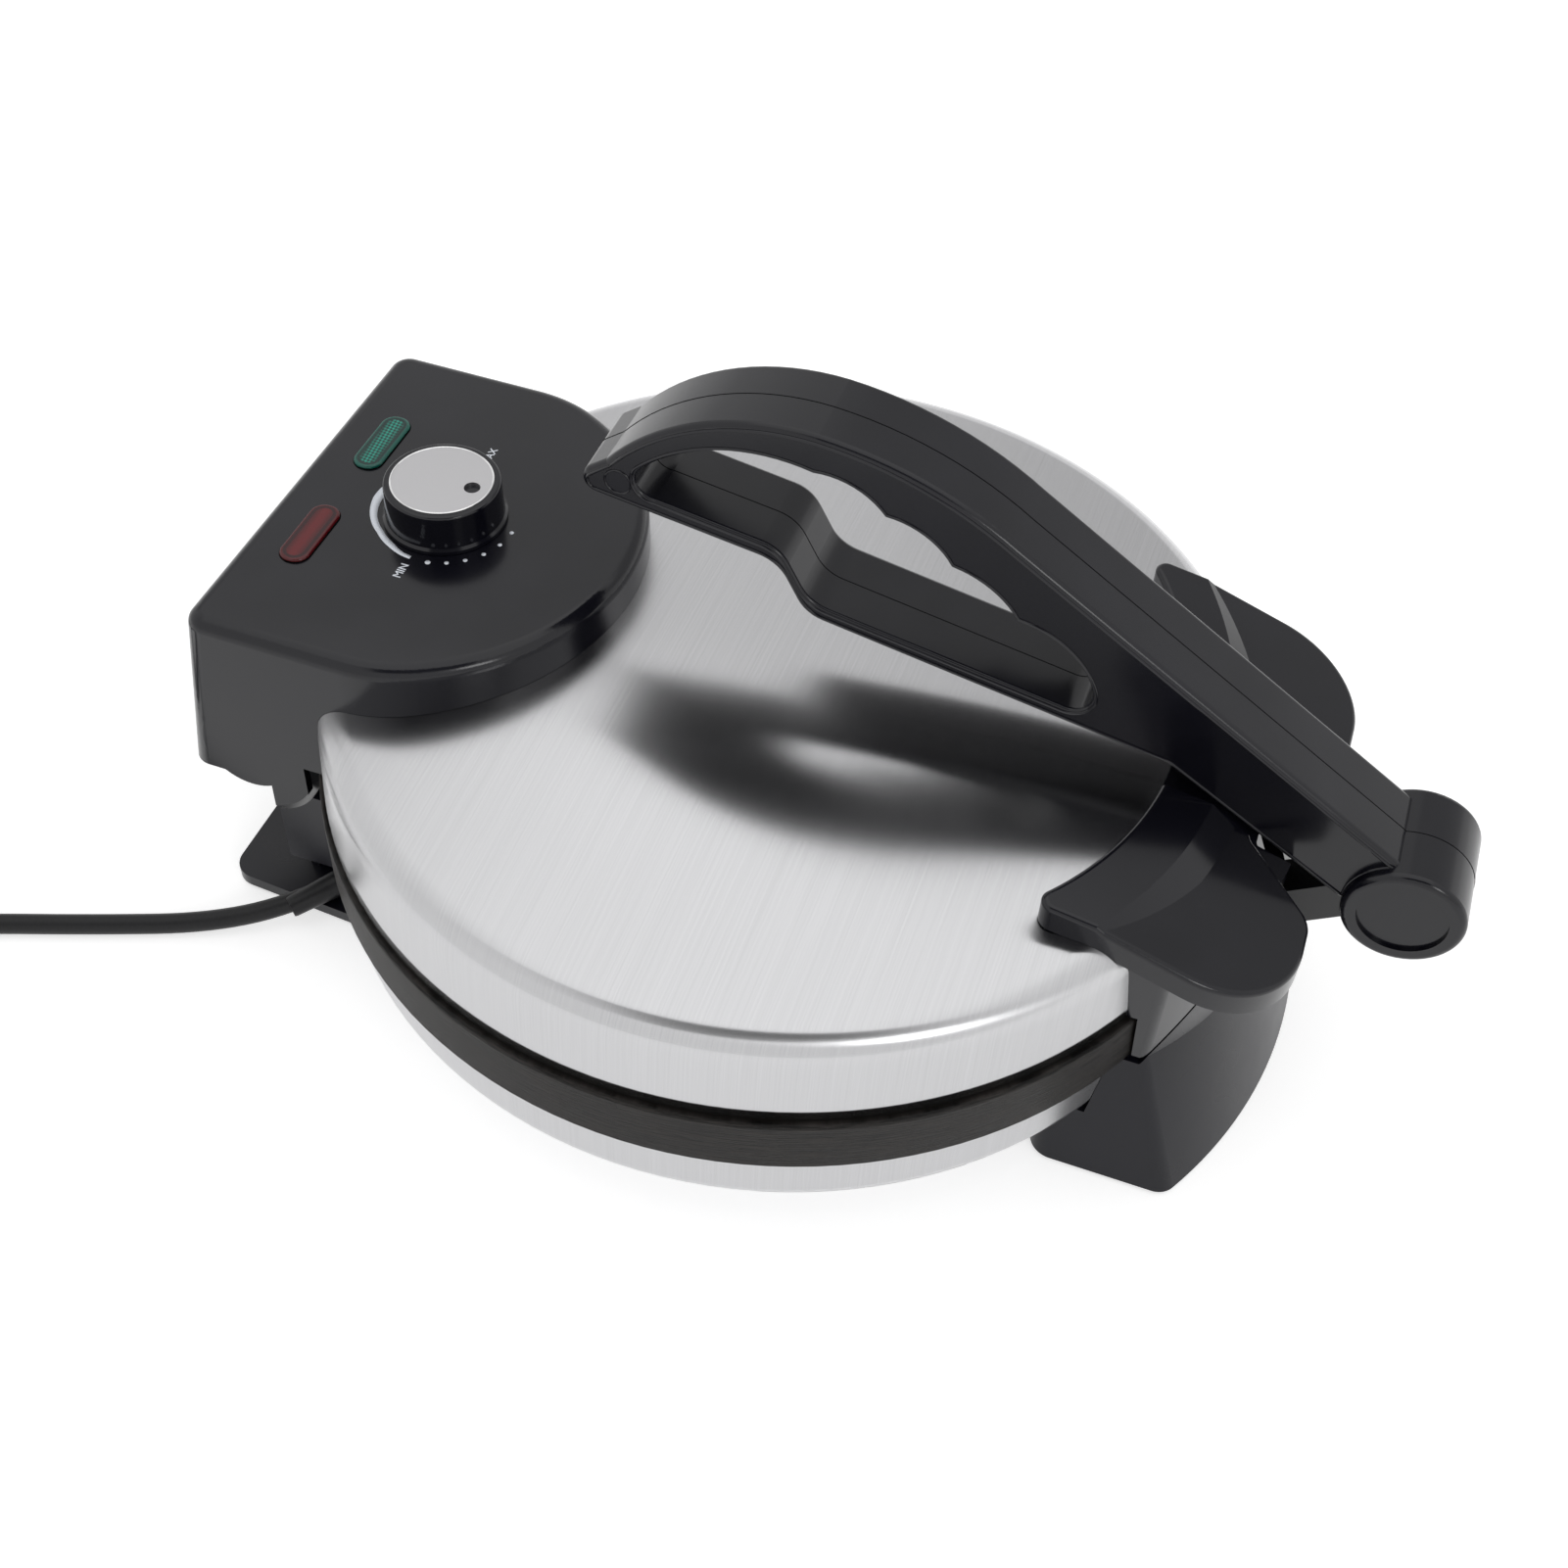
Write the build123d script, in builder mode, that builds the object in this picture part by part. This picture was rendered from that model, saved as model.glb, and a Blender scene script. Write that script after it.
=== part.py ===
from build123d import *
import os
from math import atan2, cos, degrees, hypot, pi, radians, sin, sqrt, tan

os.makedirs("parts", exist_ok=True)

# Electric roti maker: two round 12 inch plates, a steel lid hinged at the rear with a
# control box on it, and a fold-over pressing lever on a link at the front.
# Millimetres, +Z up, -Y is the front. The origin is on the ground, under the middle of
# the appliance's own length, so the plates' axis stands plate_y behind it.

# ---- driving dimensions: plates and shells ---------------------------------------------
lid_radius = 150.0
lid_draft = 1.8
lid_height = 40.2
lid_dome_radius = 1280.0
lid_corner = 11.6
lid_gap = 2.0
sheet = 0.8
rim_proud = 1.7
rim_height = 20.4
rim_edge = 1.2
shell_inset = 1.6
shell_height = 24.3
floor_height = 21.8
base_corner = 6.0
plate_margin = 4.0
plate_slope = 2.0
plate_step = 1.2
plate_thick = 8.5
dough_gap = 1.7
heater_ring = 92.0
heater_radius = 4.0
heater_turn = 330.0
shield_margin = 20.0
shield_deep = 12.0
cover_radius = 104.0
cover_thick = 1.2
cover_lap = 10.0
vent_ring = 72.0
vent_count = 12
vent_length = 26.0
vent_width = 4.0
stud_radius = 2.5
stud_end = 5.0
nut_radius = 5.0
nut_high = 4.0
base_screw_radius = 1.6
base_screw_head = 4.0
base_screw_thick = 1.8
base_screw_length = 6.0
base_screw_inset = 5.0

# clearances and walls
rest_gap = 0.3
seat = 0.1
run_fit = 0.05
press_fit = 0.02
screw_fit = 0.1
side_fit = 0.35
plate_fit = 0.6
swing_gap = 0.6
skin = 3.0
foot_height = 1.5
foot_radius = 8.0
foot_boss = 1.0

# rear hinge and control box: distances behind the lid's edge, or below or above its rim
hinge_behind = 8.5
hinge_pin_radius = 3.0
hinge_pin_gap = 2.0
knuckle_radius = 11.0
knuckle_inner = 50.0
knuckle_width = 12.0
neck_root = 12.9
neck_lean = 1.9
neck_drop = 19.1
neck_step = 3.3
neck_high = 14.0
neck_depth = 30.0
boss_step = 2.0
boss_root = 0.5
ear_radius = 15.3
ear_skirt_radius = 24.0
ear_cut = 7.5
box_rise = 12.8
box_half = 73.1
nose_over = 2.9
box_nose_inset = 19.6
box_behind = 21.8
box_slant = 9.0
box_drop = 12.2
box_flare = 1.2
box_wall_inset = 12.5
arch_half = 42.0
arch_drop = 4.0
box_edge = 4.5
box_corner = 7.0
box_blend = 50.0

# thermostat knob and lamps
knob_inset = 31.5
knob_height = 14.0
knob_radius = 18.6
knob_draft = 1.5
knob_edge = 0.9
knob_skirt = 19.9
skirt_high = 2.0
skirt_edge = 0.8
disc_radius = 16.5
disc_thick = 1.2
disc_deep = 1.0
dimple_radius = 2.6
dimple_out = 10.5
shaft_radius = 3.0
shaft_grip = 8.0
thermostat_half = 13.0
thermostat_deep = 8.0
thermostat_corner = 3.0
thermostat_neck = 6.0
collar_high = 3.0
lamp_behind = 3.8
lamp_side = 24.5
lamp_length = 28.0
lamp_width = 10.0
lamp_proud = 1.2
lens_wall = 1.5
lens_top = 2.4
lens_flange = 1.2
lens_edge = 0.8
lamp_radius = 2.6
lamp_tube = 18.0

# front bracket on the lid: distances inside or beyond the lid's edge
hood_inset = 72.5
hood_rear_inset = 26.8
hood_reach = 24.2
hood_corner = 30.0
hood_tail_corner = 4.0
hood_rear_mark = 50.0
hood_rear_rise = 3.7
hood_rear_slope = 0.176
hood_step_inset = 9.0
hood_step_wide = 9.0
hood_step_drop = 4.6
hood_lobe_mark = 22.3
hood_lobe_drop = 3.7
hood_lobe_slope = 0.34
hood_rim = 9.0
hood_roof = 4.0
hood_edge = 1.6
seat_groove = 2.8
seat_fall = 0.7
seat_side = 1.5
lug_head = 12.0
lug_top = 41.0
lug_shoulder = 37.0
lug_heel = 21.0
lug_brow = 6.5
lug_waist = 7.8
lug_foot = 3.0
lug_radius = 8.0
apron_low = 18.0
bracket_up = 6.0
wall_lap = 2.0
notch_half = 17.0
notch_out = 0.5
lobe_width = 41.5
lobe_corner = 9.0
notch_corner = 5.0
body_low_rise = 2.4
body_low_inset = 7.0
body_tall = 48.0
body_high_inset = 2.0
body_corner_in = 10.5
body_out = 16.0
body_edge = 4.0
split_in = 11.5
split_drop = 0.6
split_out = 2.0
split_turn = 3.0
front_rise = 6.0
split_gap = 2.0

# link and lever
link_out = 10.0
link_drop = 15.0
link_width = 14.3
link_depth = 13.8
link_eye = 7.5
lug_thick = 5.0
pivot_out = 50.3
pivot_rise = 13.6
barrel_radius = 18.5
barrel_width = 38.6
barrel_edge = 2.2
barrel_eye = 9.0
lever_width = 30.0
lever_edge = 2.0
hole_edge = 1.2
pin_radius = 4.0
link_swing = 35.0
lever_swing = 120.0
tip_round = 4.9
step_round = 12.0
bend_round = 8.0
pad_length = 12.0
pad_thick = 4.0
cap_radius = 13.5
cap_deep = 2.5
cap_thick = 1.3
screw_radius = 1.6
screw_head = 3.4
head_thick = 2.4
screw_bite = 1.0
bore_radius = 4.0
bore_deep = 5.0

# side view of the lever: distances behind its pivot and above it
arm_root = (0, 12)
arm_shoulder = (7, 18.2)
arm_foot = (0, -8)
arm_low = (20, -2.5)
arm_bend = (79.1, 32.8)
arm_step = (192.6, 52.8)
grip_step = (202, 70)
grip_tip = (270.7, 80.5)
grip_arcs = [(131.6, 97.9), (162.3, 113.4), (191.8, 119.4), (231.4, 111.2), (255.6, 91.8)]
hole_arcs = [
    (244.5, 92.1),
    (227.3, 103.5),
    (192.3, 106.6),
    (180.8, 105.2),
    (170.8, 97.7),
    (160.3, 95.2),
    (150.3, 86.1),
    (138.7, 81.8),
    (129.4, 72.6),
    (115.5, 67.8),
    (104, 53),
    (105.4, 46.4),
    (112.1, 44.3),
]
hole_low = (191.1, 58.2)
hole_high = (201, 76)
hole_end = [(240, 82), (246, 86)]
near_spots = [(251.6, 85.4)]
far_spots = [(34, 20.5), (86, 51)]
room_reach = 22.0
room_round = 30.0
room_turn = 20.0

# supports of the base
front_flare = 6.0
front_corner_out = 7.0
front_out = 30.3
front_edge = 7.0
front_rear_edge = 8.0
front_in = 38.0
tower_over = 0.9
tower_inner = 44.0
tower_rise = 8.7
cross_out = 13.0
cross_drop = 4.6
foot_plate = 4.5
foot_front_over = 7.4
foot_rear_over = 3.4
foot_out = 24.3
foot_corner = 8.0
slot_half = 14.0
slot_drop = 11.6
slot_long = 40.0
slot_back = 2.0
cord_window = 16.0
window_wide = 24.0
window_in = 10.0
leg_half = 66.0
leg_in = 14.0
rear_leg_half = 64.0
rear_leg_out = 10.0

# mains cord
cord_radius = 3.5
cord_z = 3.6
gland_in = 18.5
gland_z = 12.0
gland_radius = 4.8
gland_long = 13.0
gland_foot = 9.0
block_long = 36.0
block_wide = 16.0
block_high = 11.0
block_in = 12.0
clamp_pitch = 12.0
clamp_radius = 2.5
clamp_deep = 6.0
coil_radius = 40.0
coil_wide = 14.0
coil_high = 13.4
stub_length = 30.0
leave_length = 36.0
plug_radius = 18.4
plug_tilt = 9.5
plug_neck = 20.0
plug_taper = 25.0
plug_grip = 12.0
neck_radius = 4.3
collar_radius = 5.2
plug_step = 9.0
pin_length = 19.0
pin_spread = 19.0
plug_pin_radius = 2.4

# ---- what follows from them ------------------------------------------------------------
base_floor = foot_height + floor_height
rim_bottom = base_floor + shell_height
rim_top = rim_bottom + rim_height
lid_bottom = rim_top + lid_gap
lid_crown = lid_bottom + lid_height
rim_radius = lid_radius + rim_proud
base_radius = lid_radius - shell_inset
plate_radius = lid_radius - plate_margin
plate_under = rim_top - dough_gap - plate_thick
upper_face = rim_top + rest_gap
upper_back = upper_face + plate_thick
shield_radius = heater_ring + shield_margin

hinge_back = lid_radius + hinge_behind
hinge_z = lid_bottom
knuckle_outer = knuckle_inner + knuckle_width
box_top = lid_crown + box_rise
box_bottom = hinge_z - box_drop
box_nose = box_half + nose_over
box_nose_back = lid_radius - box_nose_inset
box_back = lid_radius + box_behind
box_tail = box_back + box_slant
box_front = lid_radius - box_wall_inset
arch_top = hinge_z - arch_drop
knob_back = lid_radius - knob_inset
lamp_back = lid_radius + lamp_behind

hood_half = lid_radius - hood_inset
lobe_inner = hood_half - lobe_width
body_low_half = hood_half - body_low_inset
body_high_half = hood_half - body_high_inset
front_half = hood_half + front_flare
hood_rear_radius = lid_radius - hood_rear_inset
hood_front = lid_radius + hood_reach
hood_rear_back = lid_radius - hood_rear_mark
hood_rear_z = lid_crown + hood_rear_rise
hood_step_start = lid_radius - hood_step_inset
hood_step_end = hood_step_start + hood_step_wide
hood_lobe_back = lid_radius - hood_lobe_mark
hood_lobe_z = lid_crown - hood_lobe_drop
notch_back = lid_radius + notch_out
body_low = rim_bottom + body_low_rise
body_high = body_low + body_tall
body_corner_y = lid_radius - body_corner_in
body_apex = lid_radius + body_out
split_low = rim_bottom - split_drop
split_start = lid_radius - split_in
split_mid = lid_radius + split_out
split_mid_z = lid_bottom
front_top = lid_bottom + front_rise

link_back = lid_radius + link_out
link_z = lid_bottom - link_drop
pivot_forward = lid_radius + pivot_out
pivot_z = lid_bottom + pivot_rise

tower_half = box_half + tower_over
foot_front_half = box_half + foot_front_over
foot_rear_half = box_half + foot_rear_over
front_corner_y = lid_radius + front_corner_out
front_apex = lid_radius + front_out
front_inner = lid_radius - front_in
tower_back = lid_radius
tower_top = rim_bottom + tower_rise
cross_back = lid_radius + cross_out
cross_top = rim_bottom - cross_drop
foot_back = lid_radius + foot_out
slot_bottom = rim_bottom - slot_drop
leg_back = lid_radius - leg_in
rear_leg_back = lid_radius + rear_leg_out
gland_back = lid_radius - gland_in
block_back = lid_radius - block_in
far = lid_radius * 4

# the appliance's own length is centred on the origin
front_reach = pivot_forward + barrel_radius
plate_y = (front_reach - box_tail) / 2
spin = Axis((0, plate_y, 0), (0, 0, 1))


def plan(height):
    """Horizontal sketch plane with its origin on the plates' axis."""
    return Plane(origin=(0, plate_y, height), x_dir=(1, 0, 0), z_dir=(0, 0, 1))


def side(x):
    """Upright sketch plane at x, drawn in (distance behind the plates' axis, height)."""
    return Plane(origin=(x, plate_y, 0), x_dir=(0, 1, 0), z_dir=(1, 0, 0))


# radial sketch plane for turned parts, drawn in (radius, height)
radial = Plane(origin=(0, plate_y, 0), x_dir=(1, 0, 0), z_dir=(0, -1, 0))


def corner_at(x, y):
    """The current sketch's corner nearest to a point of its plane."""
    return vertices().sort_by_distance((x, y, 0))[0]


def write(builder, name):
    builder.part.label = name
    export_step(builder.part, f"parts/{name}.step")


def disc(radius, bottom, top):
    """Plain disc about the plates' axis."""
    with BuildPart(mode=Mode.PRIVATE) as solid:
        with BuildSketch(plan(bottom)):
            Circle(radius)
        extrude(amount=top - bottom)
    return solid.part


def rod(x, y, z, radius, length):
    """Rod along +X from x, its axis y behind the plates' axis and z up."""
    with BuildPart(mode=Mode.PRIVATE) as solid:
        with BuildSketch(side(x)):
            with Locations((y, z)):
                Circle(radius)
        extrude(amount=length)
    return solid.part


def slab(points, low, high):
    """Upright profile through (y, z) points, pulled along X from low to high."""
    with BuildPart(mode=Mode.PRIVATE) as solid:
        with BuildSketch(side(low)):
            with BuildLine():
                Polyline(*points, close=True)
            make_face()
        extrude(amount=high - low)
    return solid.part


def dome(radius, inset):
    """Height of the lid's domed top, moved inward by inset, at a radius from the axis."""
    return lid_crown - lid_dome_radius + sqrt((lid_dome_radius - inset) ** 2 - radius**2)


def lid_solid(inset, bottom):
    """Solid inside the lid's outer surface, moved inward by inset."""
    edge = lid_radius - lid_draft - inset
    with BuildPart(mode=Mode.PRIVATE) as solid:
        with BuildSketch(radial):
            with BuildLine():
                Polyline(
                    (0, dome(0, inset)),
                    (0, bottom),
                    (lid_radius - inset, bottom),
                    (edge, dome(edge, inset)),
                )
                ThreePointArc(
                    (edge, dome(edge, inset)),
                    (edge / 2, dome(edge / 2, inset)),
                    (0, dome(0, inset)),
                )
            make_face()
            fillet(corner_at(edge, dome(edge, inset)), radius=lid_corner - inset)
        revolve(axis=spin)
    return solid.part


# ---- base: shell, cover, lower plate and its heater ------------------------------------
screw_ring = cover_radius - base_screw_inset
floor_opening = cover_radius - cover_lap

with BuildPart() as base_shell:
    with BuildSketch(radial):
        with BuildLine():
            Polyline(
                (floor_opening, base_floor),
                (base_radius, base_floor),
                (base_radius, plate_under),
                (base_radius - sheet, plate_under),
                (base_radius - sheet, base_floor + sheet),
                (floor_opening, base_floor + sheet),
                close=True,
            )
        make_face()
        fillet(corner_at(base_radius, base_floor), radius=base_corner)
        fillet(corner_at(base_radius - sheet, base_floor + sheet), radius=base_corner - sheet)
    revolve(axis=spin)
    with BuildSketch(plan(base_floor)):
        with PolarLocations(screw_ring, 4, start_angle=45):
            Circle(base_screw_radius + screw_fit)
    extrude(amount=sheet, mode=Mode.SUBTRACT)
write(base_shell, "base_shell")

with BuildPart() as bottom_cover:
    with BuildSketch(plan(base_floor - cover_thick)):
        Circle(cover_radius)
        with PolarLocations(vent_ring, vent_count):
            SlotOverall(vent_length, vent_width, mode=Mode.SUBTRACT)
        with PolarLocations(screw_ring, 4, start_angle=45):
            Circle(base_screw_radius + screw_fit, mode=Mode.SUBTRACT)
    extrude(amount=cover_thick)
write(bottom_cover, "bottom_cover")

with BuildPart() as base_screws:
    with BuildSketch(plan(base_floor - cover_thick)):
        with PolarLocations(screw_ring, 4, start_angle=45):
            Circle(base_screw_head)
    extrude(amount=-base_screw_thick)
    with BuildSketch(plan(base_floor - cover_thick)):
        with PolarLocations(screw_ring, 4, start_angle=45):
            Circle(base_screw_radius)
    extrude(amount=base_screw_length)
write(base_screws, "base_screws")

with BuildPart() as lower_plate:
    with BuildSketch(radial):
        with BuildLine():
            Polyline(
                (0, plate_under),
                (base_radius + seat, plate_under),
                (base_radius + seat, rim_bottom),
                (rim_radius, rim_bottom),
                (rim_radius, rim_top),
                (plate_radius, rim_top),
                (plate_radius - plate_slope, rim_top - dough_gap),
                (0, rim_top - dough_gap),
                close=True,
            )
        make_face()
        fillet(corner_at(rim_radius, rim_top), radius=rim_edge)
    revolve(axis=spin)
write(lower_plate, "lower_plate")


def heater(level):
    """Sheathed heating element: an open ring of tube."""
    with BuildPart(mode=Mode.PRIVATE) as element:
        with BuildSketch(radial):
            with Locations((heater_ring, level)):
                Circle(heater_radius)
        revolve(axis=spin, revolution_arc=heater_turn)
    return element.part


def heat_shield(rim, floor):
    """Pressed steel dish that closes over the heater, its rim against the plate."""
    inner = shield_radius - sheet
    step = sheet if rim > floor else -sheet
    with BuildPart(mode=Mode.PRIVATE) as dish:
        with BuildSketch(radial):
            with BuildLine():
                Polyline(
                    (stud_radius, floor),
                    (shield_radius, floor),
                    (shield_radius, rim),
                    (inner, rim),
                    (inner, floor + step),
                    (stud_radius, floor + step),
                    close=True,
                )
            make_face()
        revolve(axis=spin)
    return dish.part


def shield_stud(plate, floor):
    """Threaded stud and nut that hold the dish to the plate."""
    step = 1 if floor > plate else -1
    with BuildPart(mode=Mode.PRIVATE) as stud:
        with BuildSketch(plan(plate)):
            Circle(stud_radius - seat)
        extrude(amount=floor - plate + step * stud_end)
        with BuildSketch(plan(floor)):
            RegularPolygon(nut_radius, 6)
        extrude(amount=step * nut_high)
    return stud.part


with BuildPart() as lower_heater:
    add(heater(plate_under - heater_radius - seat))
write(lower_heater, "lower_heater")

with BuildPart() as lower_heat_shield:
    add(heat_shield(plate_under, plate_under - shield_deep))
write(lower_heat_shield, "lower_heat_shield")

with BuildPart() as lower_shield_nut:
    add(shield_stud(plate_under, plate_under - shield_deep))
write(lower_shield_nut, "lower_shield_nut")

# ---- lid: cover, upper plate and its heater --------------------------------------------
with BuildPart() as lid_cover:
    add(lid_solid(0, lid_bottom))
    add(lid_solid(sheet, lid_bottom - sheet), mode=Mode.SUBTRACT)
write(lid_cover, "lid_cover")

with BuildPart() as upper_plate:
    add(disc(lid_radius - sheet - 2, upper_face, upper_back))
    add(disc(lid_radius - sheet - plate_fit, lid_bottom + 1, upper_back))
write(upper_plate, "upper_plate")

with BuildPart() as upper_heater:
    add(heater(upper_back + heater_radius + seat))
write(upper_heater, "upper_heater")

with BuildPart() as upper_heat_shield:
    add(heat_shield(upper_back, upper_back + shield_deep))
write(upper_heat_shield, "upper_heat_shield")

with BuildPart() as upper_shield_nut:
    add(shield_stud(upper_back, upper_back + shield_deep))
write(upper_shield_nut, "upper_shield_nut")


# ---- base supports ---------------------------------------------------------------------
def body_outline(level, half, corner, apex, rear, edge, rear_edge):
    """Plan of the front body: straight sides, a bowed front and rounded corners."""
    with BuildSketch(plan(level), mode=Mode.PRIVATE) as outline:
        with BuildLine():
            Polyline((half, -corner), (half, -rear), (-half, -rear), (-half, -corner))
            ThreePointArc((-half, -corner), (0, -apex), (half, -corner))
        make_face()
        for sign in (-1, 1):
            fillet(corner_at(sign * half, -corner), radius=edge)
            fillet(corner_at(sign * half, -rear), radius=rear_edge)
    return outline.sketch


def upper_body(inset, low, high, rear):
    """Upper part of the front body: its sides lean out towards the hood."""
    lean = (body_high_half - body_low_half) / (body_high - body_low)
    edge = body_edge - inset
    with BuildPart(mode=Mode.PRIVATE) as solid:
        for level in (low, high):
            half = body_low_half + lean * (level - body_low) - inset
            add(body_outline(level, half, body_corner_y - inset / 2, body_apex - inset, rear, edge, edge))
        loft(ruled=True)
    return solid.part


def lower_body(inset, low):
    """Lower part of the front body: flares from the split down to the ground."""
    rear = front_inner + inset
    edge = body_edge - inset
    with BuildPart(mode=Mode.PRIVATE) as solid:
        add(
            body_outline(
                low, front_half - inset, front_corner_y - inset / 2, front_apex - inset, rear,
                front_edge - inset, front_rear_edge - inset,
            )
        )
        add(
            body_outline(
                body_low, body_low_half - inset, body_corner_y - inset / 2, body_apex - inset, rear,
                edge, edge,
            )
        )
        loft(ruled=True)
    return solid.part


# the slanted split between the lid's bracket and the base's housing, seen from the side
split_line = [
    (-split_start, split_low),
    (-split_mid, split_mid_z),
    (-split_mid - split_turn, front_top),
    (-far, front_top),
]


def below_split(drop):
    """Everything of the front body that belongs to the base, lowered by drop."""
    upper = [(y, z - drop) for y, z in split_line]
    return slab([(far, split_low - drop), *upper, (-far, -far), (far, -far)], -far, far)


shell_clear = disc(base_radius + seat, base_floor, rim_bottom)
rim_clear = disc(rim_radius + swing_gap, rim_bottom - seat, box_top)
leg_spots = ((-leg_half, -leg_back), (leg_half, -leg_back))
rear_foot_spots = ((-rear_leg_half, rear_leg_back), (rear_leg_half, rear_leg_back))


def front_hollow():
    """Space inside the front housing, a wall's thickness inside its skin."""
    with BuildPart(mode=Mode.PRIVATE) as hollow:
        add(lower_body(skin, foot_height))
        add(upper_body(skin, body_low, body_high, front_inner + skin))
        add(below_split(skin), mode=Mode.INTERSECT)
        add(disc(base_radius + skin, base_floor - skin, rim_bottom), mode=Mode.SUBTRACT)
        add(disc(rim_radius + swing_gap + skin, rim_bottom - seat - skin, box_top), mode=Mode.SUBTRACT)
    return hollow.part


with BuildPart() as front_housing:
    add(lower_body(0, foot_height))
    add(upper_body(0, body_low, body_high, front_inner))
    add(below_split(0), mode=Mode.INTERSECT)
    add(shell_clear, mode=Mode.SUBTRACT)
    add(rim_clear, mode=Mode.SUBTRACT)
    add(front_hollow(), mode=Mode.SUBTRACT)
    with BuildSketch(plan(foot_height)):
        with Locations(*leg_spots):
            Circle(foot_radius + foot_boss)
    extrude(amount=base_floor - foot_height)
    with BuildSketch(plan(slot_bottom)):
        with Locations((0, slot_back - base_radius - slot_long / 2)):
            Rectangle(2 * slot_half, slot_long)
    extrude(amount=far, mode=Mode.SUBTRACT)
write(front_housing, "front_housing")

ear_inner = box_half + box_flare - skin
hinge_point = (hinge_back, hinge_z)
sweep_radius = hypot(box_tail - hinge_back, hinge_z - box_bottom) + swing_gap


def tower(mirrored):
    """One hollow hinge tower of the rear housing, with its knuckle."""
    low, high = (tower_inner, tower_half) if mirrored > 0 else (-tower_half, -tower_inner)
    knuckle_low = knuckle_inner if mirrored > 0 else -knuckle_outer
    middle = (low + high) / 2
    with BuildPart(mode=Mode.PRIVATE) as solid:
        with BuildSketch(plan(foot_height)):
            with Locations((middle, (front_inner + tower_back) / 2)):
                Rectangle(high - low, tower_back - front_inner)
        extrude(amount=tower_top - foot_height)
        with BuildSketch(plan(foot_height + foot_plate)):
            with Locations((middle, (front_inner + tower_back) / 2)):
                Rectangle(high - low - 2 * skin, tower_back - front_inner - 2 * skin)
        extrude(amount=base_floor - skin - foot_height - foot_plate, mode=Mode.SUBTRACT)
        add(rod(low, *hinge_point, sweep_radius, high - low), mode=Mode.SUBTRACT)
        add(slab(neck_points, knuckle_low, knuckle_low + knuckle_outer - knuckle_inner))
        add(rod(knuckle_low, *hinge_point, knuckle_radius, knuckle_outer - knuckle_inner))
        add(shell_clear, mode=Mode.SUBTRACT)
        add(rim_clear, mode=Mode.SUBTRACT)
        add(rod(low, *hinge_point, hinge_pin_radius + press_fit, high - low), mode=Mode.SUBTRACT)
    return solid.part


# the neck that carries each knuckle, from the knuckle down into the tower
neck_behind = hinge_back - neck_root
neck_points = [
    (hinge_back - knuckle_radius * 0.97, hinge_z + knuckle_radius * 0.2),
    (hinge_back - knuckle_radius * 0.5, hinge_z - knuckle_radius * 0.86),
    (neck_behind + neck_lean, hinge_z - neck_drop),
    (neck_behind, hinge_z - neck_drop - neck_step),
    (neck_behind, hinge_z - neck_depth),
    (hinge_back - neck_depth, hinge_z - neck_depth),
    (hinge_back - neck_depth, hinge_z - neck_high),
]

with BuildPart() as rear_housing:
    with BuildSketch(plan(foot_height)):
        with BuildLine():
            Polyline(
                (foot_front_half, front_inner),
                (foot_rear_half, foot_back),
                (-foot_rear_half, foot_back),
                (-foot_front_half, front_inner),
                close=True,
            )
        make_face()
        fillet(vertices(), radius=foot_corner)
    extrude(amount=foot_plate)
    add(tower(1))
    add(tower(-1))
    with BuildSketch(plan(foot_height)):
        with Locations((0, (front_inner + cross_back) / 2)):
            Rectangle(2 * tower_inner + 2 * skin, cross_back - front_inner)
    extrude(amount=cross_top - foot_height)
    with BuildSketch(plan(foot_height + foot_plate)):
        with Locations((0, (front_inner + cross_back) / 2)):
            Rectangle(2 * tower_inner, cross_back - front_inner - 2 * skin)
    extrude(amount=cross_top - skin - foot_height - foot_plate, mode=Mode.SUBTRACT)
    add(shell_clear, mode=Mode.SUBTRACT)
    with BuildSketch(plan(foot_height + foot_plate)):
        with Locations((-tower_half, tower_back - window_in)):
            Rectangle(2 * window_in, window_wide)
    extrude(amount=cord_window, mode=Mode.SUBTRACT)
write(rear_housing, "rear_housing")

with BuildPart() as rubber_feet:
    with BuildSketch(plan(0)):
        with Locations(*leg_spots, *rear_foot_spots):
            Circle(foot_radius)
    extrude(amount=foot_height)
write(rubber_feet, "rubber_feet")

hinge_pin_length = ear_inner - hinge_pin_gap - knuckle_inner
with BuildPart() as hinge_pins:
    for start in (knuckle_inner, -knuckle_inner - hinge_pin_length):
        add(rod(start, *hinge_point, hinge_pin_radius, hinge_pin_length))
write(hinge_pins, "hinge_pins")


# ---- lid: control box ------------------------------------------------------------------
def box_outline(level, half, nose, back, inset):
    """D-shaped plan of the control box: flat rear and sides, bowed nose."""
    straight = box_nose_back - sqrt((nose - inset) ** 2 - (half - inset) ** 2)
    with BuildSketch(plan(level), mode=Mode.PRIVATE) as outline:
        with BuildLine():
            Polyline(
                (half - inset, straight),
                (half - inset, back - inset),
                (inset - half, back - inset),
                (inset - half, straight),
            )
            ThreePointArc(
                (inset - half, straight),
                (0, box_nose_back - nose + inset),
                (half - inset, straight),
            )
        make_face()
        for sign in (-1, 1):
            fillet(corner_at(sign * (half - inset), back - inset), radius=box_corner - inset)
            fillet(corner_at(sign * (half - inset), straight), radius=box_blend)
    return outline.sketch


def box_solid(inset, low):
    """Solid of the control box, its walls moved inward by inset and its foot at low."""
    grow = (box_top - low) / (box_top - box_bottom)
    with BuildPart(mode=Mode.PRIVATE) as solid:
        flared = box_half + grow * box_flare
        add(box_outline(low, flared, box_nose + grow * box_flare, box_back + grow * box_slant, inset))
        add(box_outline(box_top - inset, box_half, box_nose, box_back, inset))
        loft(ruled=True)
    return solid.part


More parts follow.
